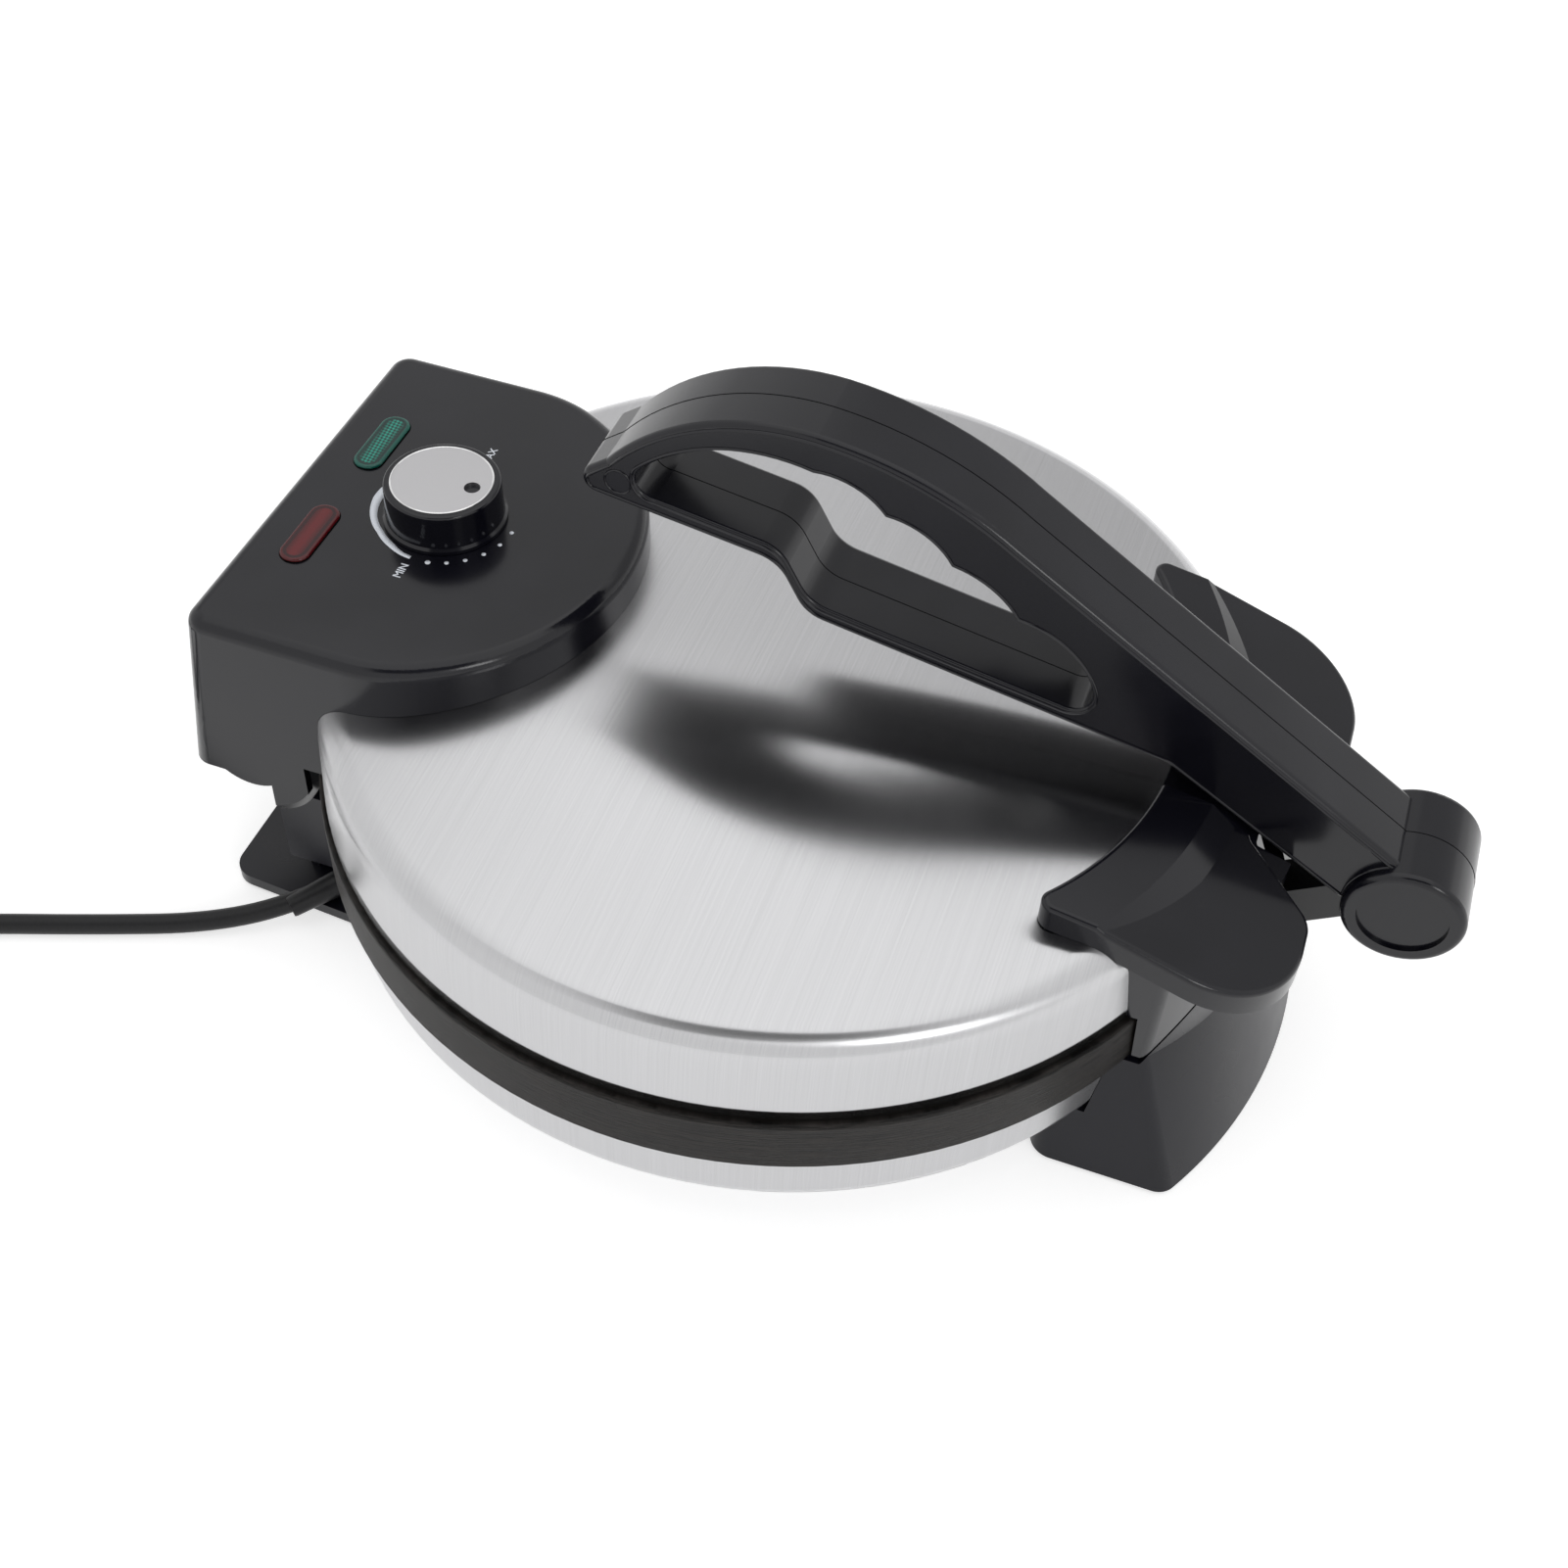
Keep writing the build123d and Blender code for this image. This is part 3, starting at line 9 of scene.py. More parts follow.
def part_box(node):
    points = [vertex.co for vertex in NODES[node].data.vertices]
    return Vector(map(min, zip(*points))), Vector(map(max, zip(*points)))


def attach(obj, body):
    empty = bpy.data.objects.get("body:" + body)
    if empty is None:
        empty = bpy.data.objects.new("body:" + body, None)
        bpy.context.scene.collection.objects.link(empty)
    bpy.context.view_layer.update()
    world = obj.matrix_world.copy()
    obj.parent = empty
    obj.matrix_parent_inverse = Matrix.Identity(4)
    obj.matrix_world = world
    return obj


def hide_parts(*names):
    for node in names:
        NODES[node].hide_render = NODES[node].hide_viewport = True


bl_info = {
    "name": "Roti maker",
    "version": (1, 0, 0),
    "blender": (4, 5, 0),
    "location": "View3D > Sidebar > Roti maker",
    "description": "Finishes, trim, dial and mains cord of an electric roti maker",
    "category": "Object",
}

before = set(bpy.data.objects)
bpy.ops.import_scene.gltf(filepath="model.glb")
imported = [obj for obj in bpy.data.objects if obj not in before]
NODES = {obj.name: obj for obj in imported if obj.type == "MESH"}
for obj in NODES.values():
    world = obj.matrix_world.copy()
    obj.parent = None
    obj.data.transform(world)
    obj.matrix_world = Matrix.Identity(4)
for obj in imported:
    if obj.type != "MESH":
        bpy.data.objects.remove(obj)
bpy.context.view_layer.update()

# how far a lens stands out of the panel, its flange and its wall
LENS_PROUD = 0.0012
LENS_FLANGE = 0.0012
LENS_WALL = 0.0015

LID_LOW, LID_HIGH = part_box("lid_cover")
PLATE_Y = (LID_LOW.y + LID_HIGH.y) / 2
PANEL_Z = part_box("green_lens")[1].z - LENS_PROUD
KNOB_LOW, KNOB_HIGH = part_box("knob_body")
KNOB = (KNOB_LOW + KNOB_HIGH) / 2


# ---- settings a user would change -------------------------------------------------------
class RotiSteel(bpy.types.PropertyGroup):
    sheet: FloatProperty(
        name="Sheet", description="Thickness of the steel cover", default=0.0008, unit="LENGTH"
    )
    shade: FloatVectorProperty(
        name="Steel",
        description="Colour of the brushed steel",
        default=(0.54, 0.54, 0.55),
        subtype="COLOR",
    )
    steps: IntProperty(
        name="Steps", description="Facets round the steel cover", default=192, min=48
    )


class RotiMoulding(bpy.types.PropertyGroup):
    shade: FloatVectorProperty(
        name="Black",
        description="Colour of the black mouldings",
        default=(0.0050, 0.0050, 0.0085),
        subtype="COLOR",
    )
    bead: FloatProperty(
        name="Bead",
        description="Radius of the bead along the lever's edges",
        default=0.0005,
        unit="LENGTH",
    )


class RotiDial(bpy.types.PropertyGroup):
    ring: FloatProperty(
        name="Dot ring", description="Radius of the ring of dots", default=0.0231, unit="LENGTH"
    )
    dot: FloatProperty(name="Dot", description="Radius of a dot", default=0.00072, unit="LENGTH")
    letters: FloatProperty(
        name="Letters", description="Size of the words", default=0.0037, unit="LENGTH"
    )
    print_shade: FloatVectorProperty(
        name="Print",
        description="Colour of the dial marks",
        default=(0.84, 0.88, 0.95),
        subtype="COLOR",
    )


class RotiCord(bpy.types.PropertyGroup):
    radius: FloatProperty(
        name="Radius", description="Half the cord's diameter", default=0.0035, unit="LENGTH"
    )
    inner: FloatProperty(
        name="Inner turns", description="Radius of the inner turns", default=0.0365, unit="LENGTH"
    )
    outer: FloatProperty(
        name="Outer turns", description="Radius of the outer turns", default=0.0435, unit="LENGTH"
    )


class RotiLight(bpy.types.PropertyGroup):
    key: FloatProperty(
        name="Key", description="Power of the large soft lamp", default=9.0, unit="POWER"
    )
    fill: FloatProperty(
        name="Fill", description="Power of the small lamp by the camera", default=4.0, unit="POWER"
    )
    back: FloatProperty(
        name="Back", description="Power of the lamp behind the knob", default=1.3, unit="POWER"
    )
    world: FloatProperty(name="World", description="Strength of the surroundings", default=0.65)


# ---- node recipes ------------------------------------------------------------------------
class Recipe:
    """A node material built up step by step from a principled shader."""

    def __init__(self, name, colour, roughness, metallic=0.0, specular=0.5):
        self.material = bpy.data.materials.new(name)
        self.material.use_nodes = True
        self.material.diffuse_color = (*colour, 1)
        self.tree = self.material.node_tree
        self.shader = self.tree.nodes["Principled BSDF"]
        self.set("Base Color", (*colour, 1))
        self.set("Roughness", roughness)
        self.set("Metallic", metallic)
        self.set("Specular IOR Level", specular)

    def set(self, socket, value):
        """Gives one of the shader's own sockets a number or a colour."""
        self.shader.inputs[socket].default_value = value

    def node(self, kind, **values):
        made = self.tree.nodes.new(kind)
        for key, value in values.items():
            if key in made.inputs:
                made.inputs[key].default_value = value
            else:
                setattr(made, key, value)
        return made

    def link(self, out, socket):
        self.tree.links.new(out, socket)

    def feed(self, made, values):
        """Gives a node's sockets numbers or other steps' results, in order."""
        for socket, value in zip(made.inputs, values):
            if isinstance(value, (int, float)):
                socket.default_value = value
            else:
                self.link(value, socket)
        return made.outputs[0]

    def math(self, operation, *values):
        """One step of arithmetic."""
        return self.feed(self.node("ShaderNodeMath", operation=operation), values)

    def hypot(self, x, y):
        """The length of the long side over two sides."""
        squares = self.math("ADD", self.math("MULTIPLY", x, x), self.math("MULTIPLY", y, y))
        return self.math("SQRT", squares)

    def point(self, *values):
        """A vector made of up to three steps' results."""
        return self.feed(self.node("ShaderNodeCombineXYZ"), values)

    def here(self):
        """X, Y and Z of the shaded point in object coordinates."""
        coord = self.node("ShaderNodeTexCoord")
        apart = self.node("ShaderNodeSeparateXYZ")
        self.link(coord.outputs["Object"], apart.inputs["Vector"])
        return apart.outputs["X"], apart.outputs["Y"], apart.outputs["Z"]

    def polar(self, middle_y):
        """Turn, distance and height about the upright axis through X = 0 and Y = middle_y."""
        x, y, height = self.here()
        y = self.math("SUBTRACT", middle_y, y)
        away = self.hypot(x, y)
        return self.math("ARCTAN2", x, y), away, height

    def noise(self, vector, detail=4.0, rough=0.6):
        made = self.node("ShaderNodeTexNoise", Scale=1.0, Detail=detail, Roughness=rough)
        self.link(vector, made.inputs["Vector"])
        return made.outputs["Fac"]

    def grain(self, cells, detail=4.0):
        """Noise of so many cells to the metre, the same each way or given for X, Y and Z."""
        coord = self.node("ShaderNodeTexCoord")
        scale = cells if isinstance(cells, tuple) else (cells, cells, cells)
        mapping = self.node("ShaderNodeMapping", Scale=scale)
        self.link(coord.outputs["Object"], mapping.inputs["Vector"])
        return self.noise(mapping.outputs["Vector"], detail)

    def ramp(self, value, low, high, first, last):
        """Runs a value between two levels into a number between first and last."""
        made = self.node("ShaderNodeMapRange")
        made.inputs["From Min"].default_value = low
        made.inputs["From Max"].default_value = high
        made.inputs["To Min"].default_value = first
        made.inputs["To Max"].default_value = last
        self.link(value, made.inputs["Value"])
        return made.outputs["Result"]

    def tint(self, value, first, last, low=0.3, high=0.7):
        """Colours the surface between two shades by a value."""
        made = self.node("ShaderNodeValToRGB")
        for stop, level, colour in zip(made.color_ramp.elements, (low, high), (first, last)):
            stop.position = level
            stop.color = (*colour, 1)
        self.link(value, made.inputs["Fac"])
        self.link(made.outputs["Color"], self.shader.inputs["Base Color"])

    def gloss(self, value, first, last, low=0.35, high=0.65):
        """Runs the roughness between two numbers by a value."""
        self.link(self.ramp(value, low, high, first, last), self.shader.inputs["Roughness"])

    def relief(self, value, strength, distance):
        """Raises the surface by a value, on top of any relief it has."""
        bump = self.node("ShaderNodeBump", Strength=strength, Distance=distance)
        self.link(value, bump.inputs["Height"])
        normal = self.shader.inputs["Normal"]
        if normal.is_linked:
            self.link(normal.links[0].from_socket, bump.inputs["Normal"])
        self.link(bump.outputs["Normal"], normal)


def shades(colour, spread):
    """A darker and a lighter shade of a colour."""
    return (
        tuple(max(0.0, c * (1 - spread)) for c in colour),
        tuple(min(1.0, c * (1 + spread)) for c in colour),
    )


# ---- materials ---------------------------------------------------------------------------
# cells to the metre along X, Y and Z: fine lines across Y, broad cloudy patches and sand's grain
BRUSH_LINES = (14, 2800, 14)
BRUSH_CLOUDS = (9, 14, 9)
CAST_GRAIN = (700, 700, 1200)
# streaks of the cast plates: cells to the radian and to the metre of height, and how far inside
# the edge they start and are full
STREAKS_ROUND = 9.0
STREAKS_UP = 1500.0
STREAK_START = 0.003
STREAK_FULL = 0.0015


def brushed_steel(name, colour, roughness):
    """Sheet steel brushed in straight lines along X before it was pressed."""
    made = Recipe(name, colour, roughness, metallic=1.0)
    made.set("Anisotropic", 0.9)
    across = made.node("ShaderNodeCombineXYZ", Y=1.0)
    made.link(across.outputs["Vector"], made.shader.inputs["Tangent"])
    lines = made.grain(BRUSH_LINES, detail=2.0)
    clouds = made.grain(BRUSH_CLOUDS, detail=1.0)
    made.tint(lines, *shades(colour, spread=0.045), low=0.25, high=0.75)
    made.gloss(clouds, roughness - 0.02, roughness + 0.02, low=0.1, high=0.9)
    return made.material


def plain_steel(name, colour, roughness):
    """Turned or plated steel with a faint mottle."""
    made = Recipe(name, colour, roughness, metallic=1.0)
    mottle = made.grain(cells=300)
    made.tint(mottle, *shades(colour, spread=0.12))
    made.gloss(mottle, first=roughness - 0.05, last=roughness + 0.08)
    return made.material


def coated_casting(name, colour):
    """Cast aluminium under a dark non-stick coat, with long fine streaks round its edge."""
    made = Recipe(name, colour, roughness=0.42, specular=0.16)
    turn, away, height = made.polar(PLATE_Y)
    along = made.math("MULTIPLY", turn, STREAKS_ROUND)
    across = made.math("MULTIPLY", height, STREAKS_UP)
    long = made.point(along, across)
    # the streaks fade out just inside the edge, so the cooking face stays plain
    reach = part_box("lower_plate")[1].x
    side = made.ramp(away, reach - STREAK_START, reach - STREAK_FULL, 0.0, 1.0)
    cast = made.math("SUBTRACT", made.noise(long, detail=5.0, rough=0.7), 0.5)
    streaks = made.math("ADD", made.math("MULTIPLY", cast, side), 0.5)
    dark = tuple(0.3 * c for c in colour)
    light = tuple(4.5 * c for c in colour)
    made.tint(streaks, dark, light, low=0.42, high=0.75)
    made.gloss(streaks, first=0.34, last=0.55)
    made.relief(streaks, strength=0.8, distance=0.0008)
    made.relief(made.grain(CAST_GRAIN, detail=2.0), strength=0.15, distance=0.0002)
    return made.material


def moulding(name, colour, roughness, specular=0.42):
    """Dense black moulding: glossy, with a faint waviness and dust-fine grain."""
    made = Recipe(name, colour, roughness, specular=specular)
    waves = made.grain(cells=26, detail=2.0)
    made.tint(waves, *shades(colour, spread=0.15))
    made.gloss(waves, first=roughness - 0.03, last=roughness + 0.04)
    made.relief(waves, strength=0.04, distance=0.0005)
    made.relief(made.grain(cells=1500, detail=2.0), strength=0.02, distance=0.00004)
    return made.material


def rubber(name, colour, roughness=0.55):
    """Matt rubber or soft sheath with a fine grain."""
    made = Recipe(name, colour, roughness, specular=0.32)
    grain = made.grain(cells=900)
    made.tint(grain, *shades(colour, spread=0.3))
    made.relief(grain, strength=0.12, distance=0.0001)
    return made.material


def lens_plan(node):
    """A lens's middle, the radius of its round ends and half the straight between them."""
    low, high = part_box(node)
    radius = (high.y - low.y) / 2
    return (low + high) / 2, radius, (high.x - low.x) / 2 - radius


# how much closer the lenses' second set of ribs lies, and how bright their rim is
FINER_RIBS = 1.25
RIM_SHARE = 0.22


def lens_plastic(name, colour, deep, hatch):
    """Coloured clear plastic: a bright rim, its wall's dark line and, if hatched, crossed ribs."""
    middle, radius, straight = lens_plan(name)
    made = Recipe(name, colour, roughness=0.12, specular=0.4)
    x, y, _ = made.here()
    x = made.math("SUBTRACT", x, middle.x)
    y = made.math("SUBTRACT", y, middle.y)
    past = made.math("MAXIMUM", made.math("SUBTRACT", made.math("ABSOLUTE", x), straight), 0.0)
    out = made.hypot(past, y)
    # the wall's dark line, and the face within it
    wall = radius - LENS_FLANGE - LENS_WALL
    near = made.math("ABSOLUTE", made.math("SUBTRACT", out, wall))
    edge = made.ramp(near, low=0.0003, high=0.0008, first=0.0, last=1.0)
    inside = made.ramp(out, low=wall - 0.0004, high=wall + 0.0004, first=1.0, last=0.0)
    # two sets of slanting ribs that cross, brightest along the middle
    across = made.math("SINE", made.math("MULTIPLY", made.math("ADD", x, y), hatch))
    finer = made.math("MULTIPLY", made.math("SUBTRACT", x, y), hatch * FINER_RIBS)
    crossed = made.math("MULTIPLY", across, made.math("SINE", finer))
    ribs = made.ramp(crossed, low=-0.6, high=0.9, first=0.0, last=1.0)
    side = made.math("ABSOLUTE", y)
    bright = made.ramp(side, low=0.0008, high=0.0030, first=1.0, last=0.25)
    face = made.math("MULTIPLY", made.math("MULTIPLY", ribs, bright), inside)
    rim = made.math("MULTIPLY", made.math("SUBTRACT", 1.0, inside), RIM_SHARE)
    glow = made.math("MULTIPLY", made.math("ADD", face, rim), edge)
    made.tint(glow, deep, colour, low=0.0, high=1.0)
    made.relief(ribs, strength=0.15, distance=0.0002)
    made.set("Transmission Weight", 0.1)
    return made.material


def lamp_glass():
    """Thin clear glass of the neon lamps, a little warm."""
    made = Recipe("lamp_glass", (0.8, 0.7, 0.6), roughness=0.05)
    made.set("Transmission Weight", 0.7)
    made.gloss(made.grain(cells=400), first=0.03, last=0.1)
    return made.material


def shadow(name):
    """The dark of a narrow gap."""
    made = Recipe(name, (0.001, 0.001, 0.001), roughness=0.9, specular=0.05)
    made.tint(made.grain(cells=900), (0.0008, 0.0008, 0.0008), (0.0014, 0.0014, 0.0014))
    return made.material


def paint(name, colour, roughness=0.4):
    """Even paint or ink."""
    made = Recipe(name, colour, roughness)
    made.tint(made.grain(cells=2500), *shades(colour, spread=0.06))
    return made.material


# rings of the disc, in cells to the metre of radius
LATHE_RINGS = 5000.0


def spun_face(name, colour):
    """Bright metal disc faced on a lathe: faint rings about the knob's axis."""
    made = Recipe(name, colour, roughness=0.34, metallic=1.0)
    away = made.polar(KNOB.y)[1]
    rings = made.noise(made.point(made.math("MULTIPLY", away, LATHE_RINGS)), detail=2.0)
    made.tint(rings, *shades(colour, spread=0.05))
    made.gloss(rings, first=0.3, last=0.4)
    return made.material


def dress(material, *names):
    """Gives CAD nodes a material."""
    for name in names:
        mesh = NODES[name].data
        mesh.materials.clear()
        mesh.materials.append(material)


# ---- mesh helpers ------------------------------------------------------------------------
# points this near become one, and a face lies at a level when its middle is this near to it
MERGE = 1e-6
AT_LEVEL = 0.0003


def new_object(name, data):
    made = bpy.data.objects.new(name, data)
    bpy.context.scene.collection.objects.link(made)
    return made


def finish_mesh(shape, name, material, body, smooth=35.0, normals=True):
    """Makes a bmesh an object that rides on a body."""
    bmesh.ops.remove_doubles(shape, verts=shape.verts, dist=MERGE)
    if normals:
        bmesh.ops.recalc_face_normals(shape, faces=shape.faces)
    mesh = bpy.data.meshes.new(name)
    shape.to_mesh(mesh)
    shape.free()
    mesh.shade_smooth()
    mesh.set_sharp_from_angle(angle=math.radians(smooth))
    mesh.materials.append(material)
    made = new_object(name, mesh)
    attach(made, body)
    return made


def thicken(made, name, wall):
    """Gives a thin surface a wall, laid on its inner side."""
    layer = made.modifiers.new(name, "SOLIDIFY")
    layer.thickness = wall
    layer.offset = -1
    return layer


def spun(points, steps):
    """A profile of (radius, height) points turned round the plates' axis."""
    shape = bmesh.new()
    corners = [shape.verts.new((r, PLATE_Y, z)) for r, z in points]
    edges = [shape.edges.new(pair) for pair in zip(corners, corners[1:])]
    bmesh.ops.spin(
        shape,
        geom=corners + edges,
        cent=(0, PLATE_Y, 0),
        axis=(0, 0, 1),
        angle=math.tau,
        steps=steps,
        use_merge=True,
    )
    return shape


def add_spline(curve, kind, points):
    """A spline led by a list of places."""
    spline = curve.splines.new(kind)
    spline.points.add(len(points) - 1)
    for point, place in zip(spline.points, points):
        point.co = (*place, 1)
    return spline


def surface_of(curve):
    """The surface that a curve or text makes, as a bmesh."""
    holder = new_object(curve.name, curve)
    bpy.context.view_layer.update()
    mesh = bpy.data.meshes.new_from_object(holder)
    bpy.data.objects.remove(holder)
    shape = bmesh.new()
    shape.from_mesh(mesh)
    bpy.data.meshes.remove(mesh)
    return shape


def round_bead(name, points, radius, material, body):
    """A thin round bead along a closed line of points, as a mesh."""
    curve = bpy.data.curves.new(name + "_line", "CURVE")
    curve.dimensions = "3D"
    curve.bevel_depth = radius
    curve.bevel_resolution = 3
    add_spline(curve, "POLY", points).use_cyclic_u = True
    return finish_mesh(surface_of(curve), name, material, body)


def face_rims(node, side, level, least=0.0):
    """Rims of a node's flat faces that look along X and lie at a level, as lists of points."""
    shape = bmesh.new()
    shape.from_mesh(node.data)
    shape.transform(node.matrix_world)
    bmesh.ops.remove_doubles(shape, verts=shape.verts, dist=MERGE)
    shape.edges.index_update()

    def at_level(face):
        near = abs(level - face.calc_center_median().x) < AT_LEVEL
        return near and side * face.normal.x > 0.999

    # edges by number, so that the rims come in the same order each time
    flat = {face for face in shape.faces if at_level(face)}
    loose = {e.index: e for e in shape.edges if sum(f in flat for f in e.link_faces) == 1}
    rims = []
    while loose:
        edge = loose.pop(next(iter(loose)))
        start, here = edge.verts
        rim = [start.co.copy()]
        while here != start:
            rim.append(here.co.copy())
            onward = next((e for e in here.link_edges if e.index in loose), None)
            if onward is None:
                break
            del loose[onward.index]
            here = onward.other_vert(here)
        if max(p.y for p in rim) - min(p.y for p in rim) > least:
            rims.append(rim)
    shape.free()
    return rims


# ---- steel covers ------------------------------------------------------------------------
DOME_RADIUS = 1.280
DOME_RINGS = 14
SHOULDER_RADIUS = 0.0116
SHOULDER_STEPS = 12
SKIRT_DRAFT = 0.0018
# the lip at the skirt's foot: its height, and how far it stands back at the top
LIP_HIGH = 0.0045
LIP_BACK = 0.0002


def cover_profile():
    """(radius, height) points down the outside of the lid cover: dome, shoulder and skirt."""
    radius = LID_HIGH.x
    edge = radius - SKIRT_DRAFT

    def crown(r):
        return LID_HIGH.z - DOME_RADIUS + math.sqrt(DOME_RADIUS**2 - r * r)

    points = [(0.0, LID_HIGH.z)]
    for k in range(1, DOME_RINGS - 1):
        r = edge * k / DOME_RINGS
        points.append((r, crown(r)))
    # rounded shoulder between the dome and the drafted skirt
    downhill = Vector((1, -edge / math.sqrt(DOME_RADIUS**2 - edge**2))).normalized()
    skirt = Vector((SKIRT_DRAFT, LID_LOW.z - crown(edge))).normalized()
    bend = downhill.angle(skirt)
    reach = SHOULDER_RADIUS / math.tan((math.pi - bend) / 2)
    start = Vector((edge, crown(edge))) - downhill * reach
    middle = start + Vector((downhill.y, -downhill.x)) * SHOULDER_RADIUS
    first = math.atan2(start.y - middle.y, start.x - middle.x)
    for k in range(SHOULDER_STEPS + 1):
        turn = first - bend * k / SHOULDER_STEPS
        out = SHOULDER_RADIUS * math.cos(turn)
        up = SHOULDER_RADIUS * math.sin(turn)
        points.append((middle.x + out, middle.y + up))
    return points + [(radius - LIP_BACK, LID_LOW.z + LIP_HIGH), (radius, LID_LOW.z)]


class ROTI_OT_steel(bpy.types.Operator):
    """Domed lid cover and lower shell in brushed steel"""

    bl_idname = "roti.steel"
    bl_label = "Steel covers"

    def execute(self, context):
        steel = context.scene.roti_steel
        material = brushed_steel("brushed_cover", tuple(steel.shade), roughness=0.23)
        shape = spun(cover_profile(), steel.steps)
        made = finish_mesh(shape, "lid_steel", material, "lid", smooth=40)
        thicken(made, "wall", steel.sheet).use_even_offset = True
        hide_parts("lid_cover")
        dress(material, "lid_cover", "base_shell")
        return {"FINISHED"}


# ---- cast plates and heaters -------------------------------------------------------------
class ROTI_OT_plates(bpy.types.Operator):
    """Coated plates, their heaters, dishes and fasteners"""

    bl_idname = "roti.plates"
    bl_label = "Plates"

    def execute(self, context):
        coat = coated_casting("coated_plate", (0.014, 0.0125, 0.0115))
        dress(coat, "lower_plate", "upper_plate")
        sheath = plain_steel("heater_sheath", (0.22, 0.2, 0.19), roughness=0.5)
        dress(sheath, "lower_heater", "upper_heater")
        zinc = plain_steel("zinc_plate", (0.5, 0.51, 0.52), roughness=0.35)
        dress(zinc, "lower_heat_shield", "lower_shield_nut", "upper_heat_shield")
        dress(zinc, "upper_shield_nut", "bottom_cover", "base_screws", "lever_screws", "thermostat")
        pins = plain_steel("pin_steel", (0.45, 0.45, 0.46), roughness=0.25)
        dress(pins, "hinge_pins", "link_pin", "lever_pin", "thermostat_shaft")
        return {"FINISHED"}


# ---- black mouldings ---------------------------------------------------------------------
# radii of the ring round a screw plug, and of the hairline between the lever's halves
PLUG_RING = 0.0004
SEAM = 0.00013
# a lever rim shorter than this is no edge to bead, and how much wider a plug's ring lies
LEVER_RIM = 0.05
RING_GROWTH = 1.03
# how much lighter the satin mouldings are than the glossy ones
SATIN_LIFT = 1.2


def lever_trim(bead, gloss, groove):
    """Beads along the lever's edges, rings round its screw plugs, hairline between its halves."""
    plugs = NODES["screw_plugs"]
    low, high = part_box("screw_plugs")
    for side, level, word in ((-1, low.x, "near"), (1, high.x, "far")):
        half = NODES[f"lever_{word}_half"]
        for k, rim in enumerate(face_rims(half, side, level, LEVER_RIM)):
            name = f"lever_bead_{word}_{k}"
            round_bead(name, rim, bead, gloss, "lever")
        for k, rim in enumerate(face_rims(plugs, side, level)):
            middle = sum(rim, Vector()) / len(rim)
            wider = [middle + (p - middle) * RING_GROWTH for p in rim]
            name = f"plug_ring_{word}_{k}"
            round_bead(name, wider, PLUG_RING, gloss, "lever")
    for k, rim in enumerate(face_rims(NODES["lever_near_half"], 1, 0.0, LEVER_RIM)):
        round_bead(f"lever_seam_{k}", rim, SEAM, groove, "lever")


class ROTI_OT_mouldings(bpy.types.Operator):
    """Housings, bracket, link and lever in black moulding"""

    bl_idname = "roti.mouldings"
    bl_label = "Mouldings"

    def execute(self, context):
        settings = context.scene.roti_moulding
        black = tuple(settings.shade)
        dusty = tuple(c * SATIN_LIFT for c in black)
        glossy = moulding("glossy_moulding", black, roughness=0.17)
        satin = moulding("satin_moulding", dusty, roughness=0.3, specular=0.34)
        halves = moulding("lever_moulding", black, roughness=0.2)
        groove = shadow("seam_shadow")
        dress(glossy, "control_housing", "front_bracket")
        dress(halves, "lever_near_half", "lever_far_half", "barrel_caps")
        dress(satin, "front_housing", "rear_housing", "screw_plugs")
        dress(paint("link_black", (0.012, 0.012, 0.013), roughness=0.32), "link")
        lever_trim(settings.bead, glossy, groove)
        dress(rubber("foot_rubber", (0.03, 0.03, 0.03)), "rubber_feet", "press_pad")
        dress(paint("terminal_block", (0.75, 0.73, 0.68)), "terminal_block")
        return {"FINISHED"}


# ---- dial --------------------------------------------------------------------------------
# bearings of the dots in degrees; the first is a little larger
DOTS = (-168.1, -153.5, -138.9, -123.3, -107.0, -90.3)
FIRST_DOT = 1.25
# the wedge's bearing in degrees, and its inner and outer radius there
WEDGE = (
    (177, 0.0220, 0.0234),
    (169, 0.0218, 0.0233),
    (155, 0.0208, 0.0229),
    (135, 0.0207, 0.0228),
    (113, 0.0218, 0.0241),
    (92, 0.0222, 0.0253),
    (60, 0.0220, 0.0256),
    (3, 0.0216, 0.0256),
)
WEDGE_STEPS = 16
# each word and where it stands from the knob's axis
WORDS = (("MIN", -0.0291, 0.0011), ("MAX", 0.0320, -0.0003))
# thickness of the ink, and the words' own half thickness and weight
INK = 0.0001
WORD_INK = 0.00003
WORD_WEIGHT = 0.00005
# the knob disc's rim, a bead in lighter steel that is a painted highlight: its radius, and how far
# it lies below the face
RIM_RADIUS = 0.0003
RIM_DEEP = 0.00005
RIM_POINTS = 96


def panel_point(angle, radius):
    """A place on the top of the panel's ink, about the knob's axis."""
    x = KNOB.x + radius * math.cos(angle)
    y = KNOB.y + radius * math.sin(angle)
    return Vector((x, y, PANEL_Z + INK))


def painted_disc_highlight(bright):
    """Round rim at the edge of the knob's disc, in lighter steel as a painted highlight."""
    low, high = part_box("knob_disc")
    reach = (high.x - low.x) / 2 - RIM_RADIUS
    rim = []
    for k in range(RIM_POINTS):
        turn = math.tau * k / RIM_POINTS
        x = KNOB.x + reach * math.cos(turn)
        y = KNOB.y + reach * math.sin(turn)
        rim.append(Vector((x, y, high.z - RIM_DEEP)))
    round_bead("painted_disc_highlight", rim, RIM_RADIUS, bright, "knob")


def draw_dots(shape, ring, radius):
    """Row of dots between the two words."""
    for k, angle in enumerate(DOTS):
        bmesh.ops.create_circle(
            shape,
            cap_ends=True,
            radius=radius * (FIRST_DOT if k == 0 else 1.0),
            segments=20,
            matrix=Matrix.Translation(panel_point(math.radians(angle), ring)),
        )


